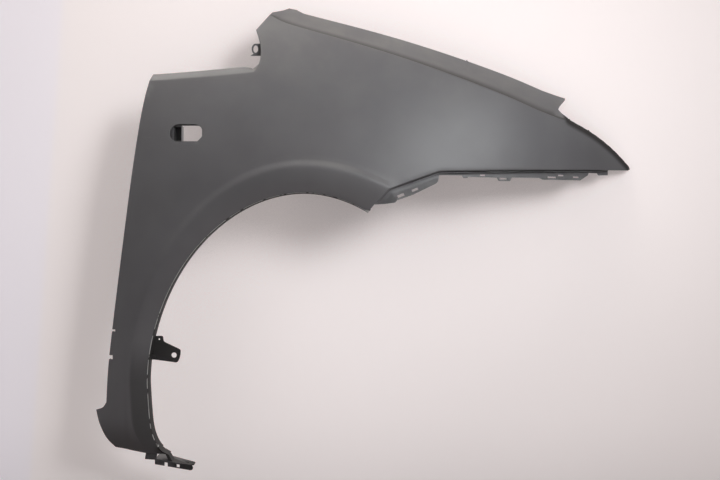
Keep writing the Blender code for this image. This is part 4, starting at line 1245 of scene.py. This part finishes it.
def mark_painted_light(mesh, rail):
    """Stores on the mesh where the material paints shade and the rim's highlight, for the material to read.
    """
    rim, crest = column_starts()
    rim = rim[FINE:]
    # Painted shade on the seam, wheel side, leg front and headlamp edge; a painted highlight on the rim
    mark_line(mesh, "seam", [column[SEAM_FOLD] for column in rail], SEAM_REACH)
    mark_line(mesh, "rim", [skin_point(place, rim_share=1.0) for place in rim], RIM_REACH)
    mark_inside(mesh, "wheel_side", rim, WHEEL_SIDE_START, WHEEL_SIDE_BLUR)
    mark_inside(mesh, "leg_front", crest, LEG_FRONT_START, LEG_FRONT_BLUR)
    mark_line(mesh, "lamp_edge", [body_point(place) for place in LAMP_LINE], LAMP_REACH)


def search_tree(places):
    tree = KDTree(len(places))
    for i, place in enumerate(places):
        tree.insert(place, i)
    tree.balance()
    return tree


def store(mesh, name, values):
    mesh.attributes.new(name, "FLOAT", "POINT").data.foreach_set("value", values)


def mark_line(mesh, name, line, reach):
    """Stores at each corner how near it lies to a line: 1 on it, 0 at the reach and beyond."""
    steps = even_steps(np.array(line), LINE_STEPS)
    tree = search_tree([Vector(place) + Vector(DATUM) for place in steps])
    store(mesh, name, [max(0.0, 1 - tree.find(corner.co)[2] / reach) for corner in mesh.vertices])


def mark_inside(mesh, name, line, start, blur):
    """Stores at each corner whether it lies nearer to the wheel than a line round the arch does."""
    tree = search_tree([Vector((x, 0, z)) for x, z in line])
    values = []
    for corner in mesh.vertices:
        flat = Vector((corner.co.x - DATUM[0], 0, corner.co.z - DATUM[2]))
        nearest = tree.find(flat)[0]
        inward = (flat - nearest).dot(-nearest.normalized())
        values.append(min(1.0, max(0.0, (inward - start) / blur)))
    store(mesh, name, values)


class Nodes:
    """Builds one material's nodes, and joins them as they are added."""

    def __init__(self, name):
        self.material = bpy.data.materials.new(name)
        self.material.use_nodes = True
        self.tree = self.material.node_tree
        self.shader = self.tree.nodes["Principled BSDF"]
        self.out = self.tree.nodes["Material Output"]

    def add(self, kind, **settings):
        node = self.tree.nodes.new(kind)
        for name, value in settings.items():
            setattr(node, name, value)
        return node

    def mark(self, name):
        """What the mesh stores under the name."""
        return self.add("ShaderNodeAttribute", attribute_name=name).outputs["Fac"]

    def join(self, source, target):
        if hasattr(source, "is_output"):
            self.tree.links.new(source, target)
        else:
            target.default_value = source

    def set(self, kind, outlet, settings, **choices):
        """Adds a node, gives each named or numbered inlet its source or value, and returns one outlet."""
        node = self.add(kind, **choices)
        for inlet, source in settings.items():
            self.join(source, node.inputs[inlet])
        return node.outputs[outlet]

    def maths(self, operation, first, second=0.0, clamp=False):
        settings = {0: first, 1: second}
        return self.set("ShaderNodeMath", 0, settings, operation=operation, use_clamp=clamp)

    def times(self, first, second):
        return self.maths("MULTIPLY", first, second)

    def most(self, first, *others):
        for other in others:
            first = self.maths("MAXIMUM", first, other)
        return first

    def left_of(self, value):
        """What the value leaves of 1."""
        return self.maths("SUBTRACT", 1.0, value)

    def blend(self, share, first, second):
        return self.set("ShaderNodeMix", 2, {0: share, 6: first, 7: second}, data_type="RGBA")

    def parts(self, vector):
        split = self.add("ShaderNodeSeparateXYZ")
        self.join(vector, split.inputs[0])
        return split.outputs

    def ramp(self, value, low, high):
        """The value spread from 0 at low to 1 at high, and held there."""
        settings = {"Value": value, "From Min": low, "From Max": high}
        return self.set("ShaderNodeMapRange", 0, settings, interpolation_type="SMOOTHSTEP")

    def noise(self, place, scale, detail=3.0, rough=0.5):
        settings = {"Vector": place, "Scale": scale, "Detail": detail, "Roughness": rough}
        return self.set("ShaderNodeTexNoise", 0, settings)

    def patches(self, place, scale, span, **kind):
        """Noise spread between the two values of a span."""
        return self.ramp(self.noise(place, scale, **kind), *span)

    def hollow(self, reach, **choices):
        return self.set("ShaderNodeAmbientOcclusion", "AO", {"Distance": reach}, samples=6, **choices)

    def bump(self, height, strength, depth, below=None):
        settings = {"Strength": strength, "Distance": depth, "Height": height}
        if below is not None:
            settings["Normal"] = below
        return self.set("ShaderNodeBump", 0, settings)


def dust_share(nodes, place, normal):
    """Dust in patches on what faces up."""
    patches = nodes.patches(place, DUST_SCALE, DUST_PATCHES, detail=5.0, rough=0.6)
    facing = nodes.ramp(nodes.parts(normal)["Z"], *DUST_FACING)
    return nodes.maths("MULTIPLY", facing, nodes.maths("ADD", patches, DUST_LEAST), clamp=True)


def scratch_share(nodes, place):
    """Hair scratches in a few places."""
    settings = {"Vector": place, "Scale": SCRATCH_STRETCH}
    stretched = nodes.set("ShaderNodeMapping", 0, settings)
    hairs = nodes.patches(stretched, SCRATCH_SCALE, SCRATCH_HAIRS, detail=2.0, rough=0.4)
    return nodes.times(hairs, nodes.patches(place, SCRATCH_PATCHES, SCRATCH_PLACES))


def painted_shade_share(nodes, place):
    """The dull painted shade on the side to the wheel, on the leg's front and lower end, and beside the
    headlamp.
    """
    drop = nodes.times(nodes.parts(place)["Z"], -1.0)
    leg = nodes.times(nodes.mark("leg_front"), nodes.ramp(drop, -LEG_FRONT_TOP, -LEG_FRONT_FULL))
    return nodes.most(
        nodes.times(nodes.mark("wheel_side"), WHEEL_SIDE_SHARE),
        nodes.times(leg, LEG_FRONT_SHARE),
        nodes.times(nodes.ramp(drop, -SILL_SHADE_TOP, -SILL_SHADE_FULL), SILL_SHADE_SHARE),
        nodes.times(nodes.ramp(nodes.mark("lamp_edge"), *LAMP_SPAN), LAMP_SHARE),
    )


def moulding_roughness(nodes, place, dust, scratch):
    """How rough the plastic is: a little uneven, and more so where it is dusty or scratched."""
    sheen = nodes.times(nodes.noise(place, SHEEN_SCALE, detail=4.0), SHEEN_RANGE)
    rough = nodes.maths("ADD", sheen, ROUGHNESS - SHEEN_RANGE / 2)
    rough = nodes.maths("ADD", rough, nodes.times(dust, DUST_ROUGHNESS))
    return nodes.maths("ADD", rough, nodes.times(scratch, DUST_ROUGHNESS), clamp=True)


def grey_moulding():
    """Satin grey plastic: faint mottling, dust, rubbed edges, hair scratches, fine grain, painted shade and
    highlight.
    """
    nodes = Nodes("moulded_grey_satin")
    surface = nodes.shader.inputs
    place = nodes.add("ShaderNodeTexCoord").outputs["Object"]
    shape = nodes.add("ShaderNodeNewGeometry").outputs
    colour = nodes.blend(nodes.patches(place, MOTTLE_SCALE, MOTTLE_SPAN), GREY_DARK, GREY_LIGHT)
    dust = dust_share(nodes, place, shape["Normal"])
    colour = nodes.blend(nodes.times(dust, DUST_SHARE), colour, DUST)
    edges = nodes.ramp(shape["Pointiness"], *EDGE_SPAN)
    worn = nodes.times(edges, nodes.patches(place, WEAR_SCALE, WEAR_PATCHES))
    colour = nodes.blend(nodes.times(worn, WEAR_SHARE), colour, RUBBED)
    scratch = scratch_share(nodes, place)
    colour = nodes.blend(nodes.times(scratch, SCRATCH_SHARE), colour, RUBBED)
    # Painted shade in the corners: darker where the occlusion round a point is greater
    corners = nodes.left_of(nodes.ramp(nodes.hollow(CORNER_SHADE_REACH, only_local=True), *CORNER_SHADE_SPAN))
    # Painted shade: a dark line along the seam where the bonnet rebate's band meets the skin
    seam = nodes.times(nodes.ramp(nodes.mark("seam"), *SEAM_SPAN), SEAM_SHARE)
    # Painted shade on the wheel's side, the leg's front, the lower end and beside the headlamp
    marked_shade = painted_shade_share(nodes, place)
    # All the painted shade goes on as one near-black colour
    colour = nodes.blend(nodes.most(nodes.times(corners, CORNER_SHADE_SHARE), seam, marked_shade), colour, PAINTED_SHADE)
    # Painted highlight: near-white dashes along the arch's rim
    dashes = nodes.patches(place, DASH_SCALE, DASH_SPAN, detail=1.0)
    bright = nodes.times(nodes.ramp(nodes.mark("rim"), *RIM_SPAN), dashes)
    nodes.join(nodes.blend(nodes.times(bright, RIM_SHARE), colour, PAINTED_RIM_HIGHLIGHT), surface["Base Color"])
    nodes.join(moulding_roughness(nodes, place, dust, scratch), surface["Roughness"])
    # The painted shade also takes away the sheen
    unshaded = nodes.left_of(marked_shade)
    nodes.join(nodes.times(nodes.times(unshaded, unshaded), GLOSS), surface["Specular IOR Level"])
    peel = nodes.bump(nodes.noise(place, PEEL_SCALE, detail=2.0), PEEL_STRENGTH, PEEL_DEPTH)
    fine = nodes.noise(place, GRAIN_SCALE, detail=2.0, rough=0.7)
    nodes.join(nodes.bump(fine, GRAIN_STRENGTH, GRAIN_DEPTH, peel), surface["Normal"])
    return nodes.material


def backdrop_paint(name, bounce_share):
    """Paint that takes the object's shadow, and that the camera sees at the photo's pale level. From behind
    the camera sees through it, and it blocks no lamp."""
    nodes = Nodes(name)
    place = nodes.parts(nodes.add("ShaderNodeTexCoord").outputs["Object"])
    edge, slope = SHEET_EDGE
    across = nodes.maths("SUBTRACT", place["X"], nodes.times(place["Z"], slope))
    sheet = nodes.ramp(across, edge - SHEET_BLUR, edge + SHEET_BLUR)
    shaded = nodes.times(nodes.left_of(nodes.hollow(NEAR_OBJECT)), NEAR_SHARE)
    colour = nodes.blend(shaded, nodes.blend(sheet, BESIDE_SHEET, BACKDROP), BLACK)
    path = nodes.add("ShaderNodeLightPath").outputs
    seen = nodes.most(path["Is Camera Ray"], path["Is Glossy Ray"], path["Is Transmission Ray"])
    lit_share = nodes.maths("ADD", nodes.times(seen, LIT_SHARE - bounce_share), bounce_share)
    lit = nodes.set("ShaderNodeBsdfDiffuse", 0, {"Color": nodes.blend(lit_share, BLACK, colour)})
    glow = nodes.set("ShaderNodeEmission", 0, {"Color": colour, "Strength": nodes.times(seen, GLOW)})
    both = nodes.set("ShaderNodeAddShader", 0, {0: lit, 1: glow})
    behind = nodes.add("ShaderNodeNewGeometry").outputs["Backfacing"]
    clear = nodes.add("ShaderNodeBsdfTransparent").outputs[0]
    hidden = nodes.most(behind, path["Is Shadow Ray"])
    paint = nodes.set("ShaderNodeMixShader", 0, {0: hidden, 1: both, 2: clear})
    nodes.join(paint, nodes.out.inputs["Surface"])
    return nodes.material


def plane(name, corners, material):
    mesh = bpy.data.meshes.new(name)
    mesh.from_pydata(corners, [], [(0, 1, 2, 3)])
    obj = linked(name, mesh)
    obj.data.materials.append(material)


def area_lamp(name, place, target, size, power, spread, colour):
    data = bpy.data.lights.new(name, "AREA")
    data.shape = "RECTANGLE"
    data.size, data.size_y = size
    data.energy = power
    data.spread = math.radians(spread)
    data.color = colour
    lamp = linked(name, data)
    lamp.location = place
    direction = Vector(target) - Vector(place)
    lamp.rotation_mode = "QUATERNION"
    lamp.rotation_quaternion = direction.to_track_quat("-Z", "Y")


def studio():
    """The wall behind the object, the floor under it, the lamps and a dim world."""
    low = cad_box[0].z - FLOOR_DROP
    wall = [(side, WALL_PLANE, low) for side in (-STAGE_SIDE, STAGE_SIDE)]
    wall += [(side, WALL_PLANE, WALL_TOP) for side in (STAGE_SIDE, -STAGE_SIDE)]
    plane("studio_wall", wall, backdrop_paint("wall_paint", WALL_BOUNCE))
    floor = [(side, -FLOOR_REACH, low) for side in (-STAGE_SIDE, STAGE_SIDE)]
    floor += [(side, FLOOR_REACH, low) for side in (STAGE_SIDE, -STAGE_SIDE)]
    plane("studio_floor", floor, backdrop_paint("floor_paint", FLOOR_BOUNCE))
    for name, settings in LAMPS.items():
        area_lamp(name, *settings)
    world = bpy.data.worlds.new("studio")
    bpy.context.scene.world = world
    world.use_nodes = True
    background = world.node_tree.nodes["Background"].inputs
    background["Color"].default_value = WORLD_COLOUR
    background["Strength"].default_value = WORLD_LEVEL


def camera():
    data = bpy.data.cameras.new("photo_view")
    data.lens = CAMERA_LENS
    data.sensor_width = CAMERA_SENSOR
    obj = linked("photo_view", data)
    obj.location = CAMERA_PLACE
    obj.rotation_euler = (math.pi / 2, 0, 0)
    bpy.context.scene.camera = obj


shell = make_shell()
shell.data.materials.append(grey_moulding())
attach(shell, "root")
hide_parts("fender_panel")
studio()
camera()
bpy.context.scene.view_settings.view_transform = "Standard"
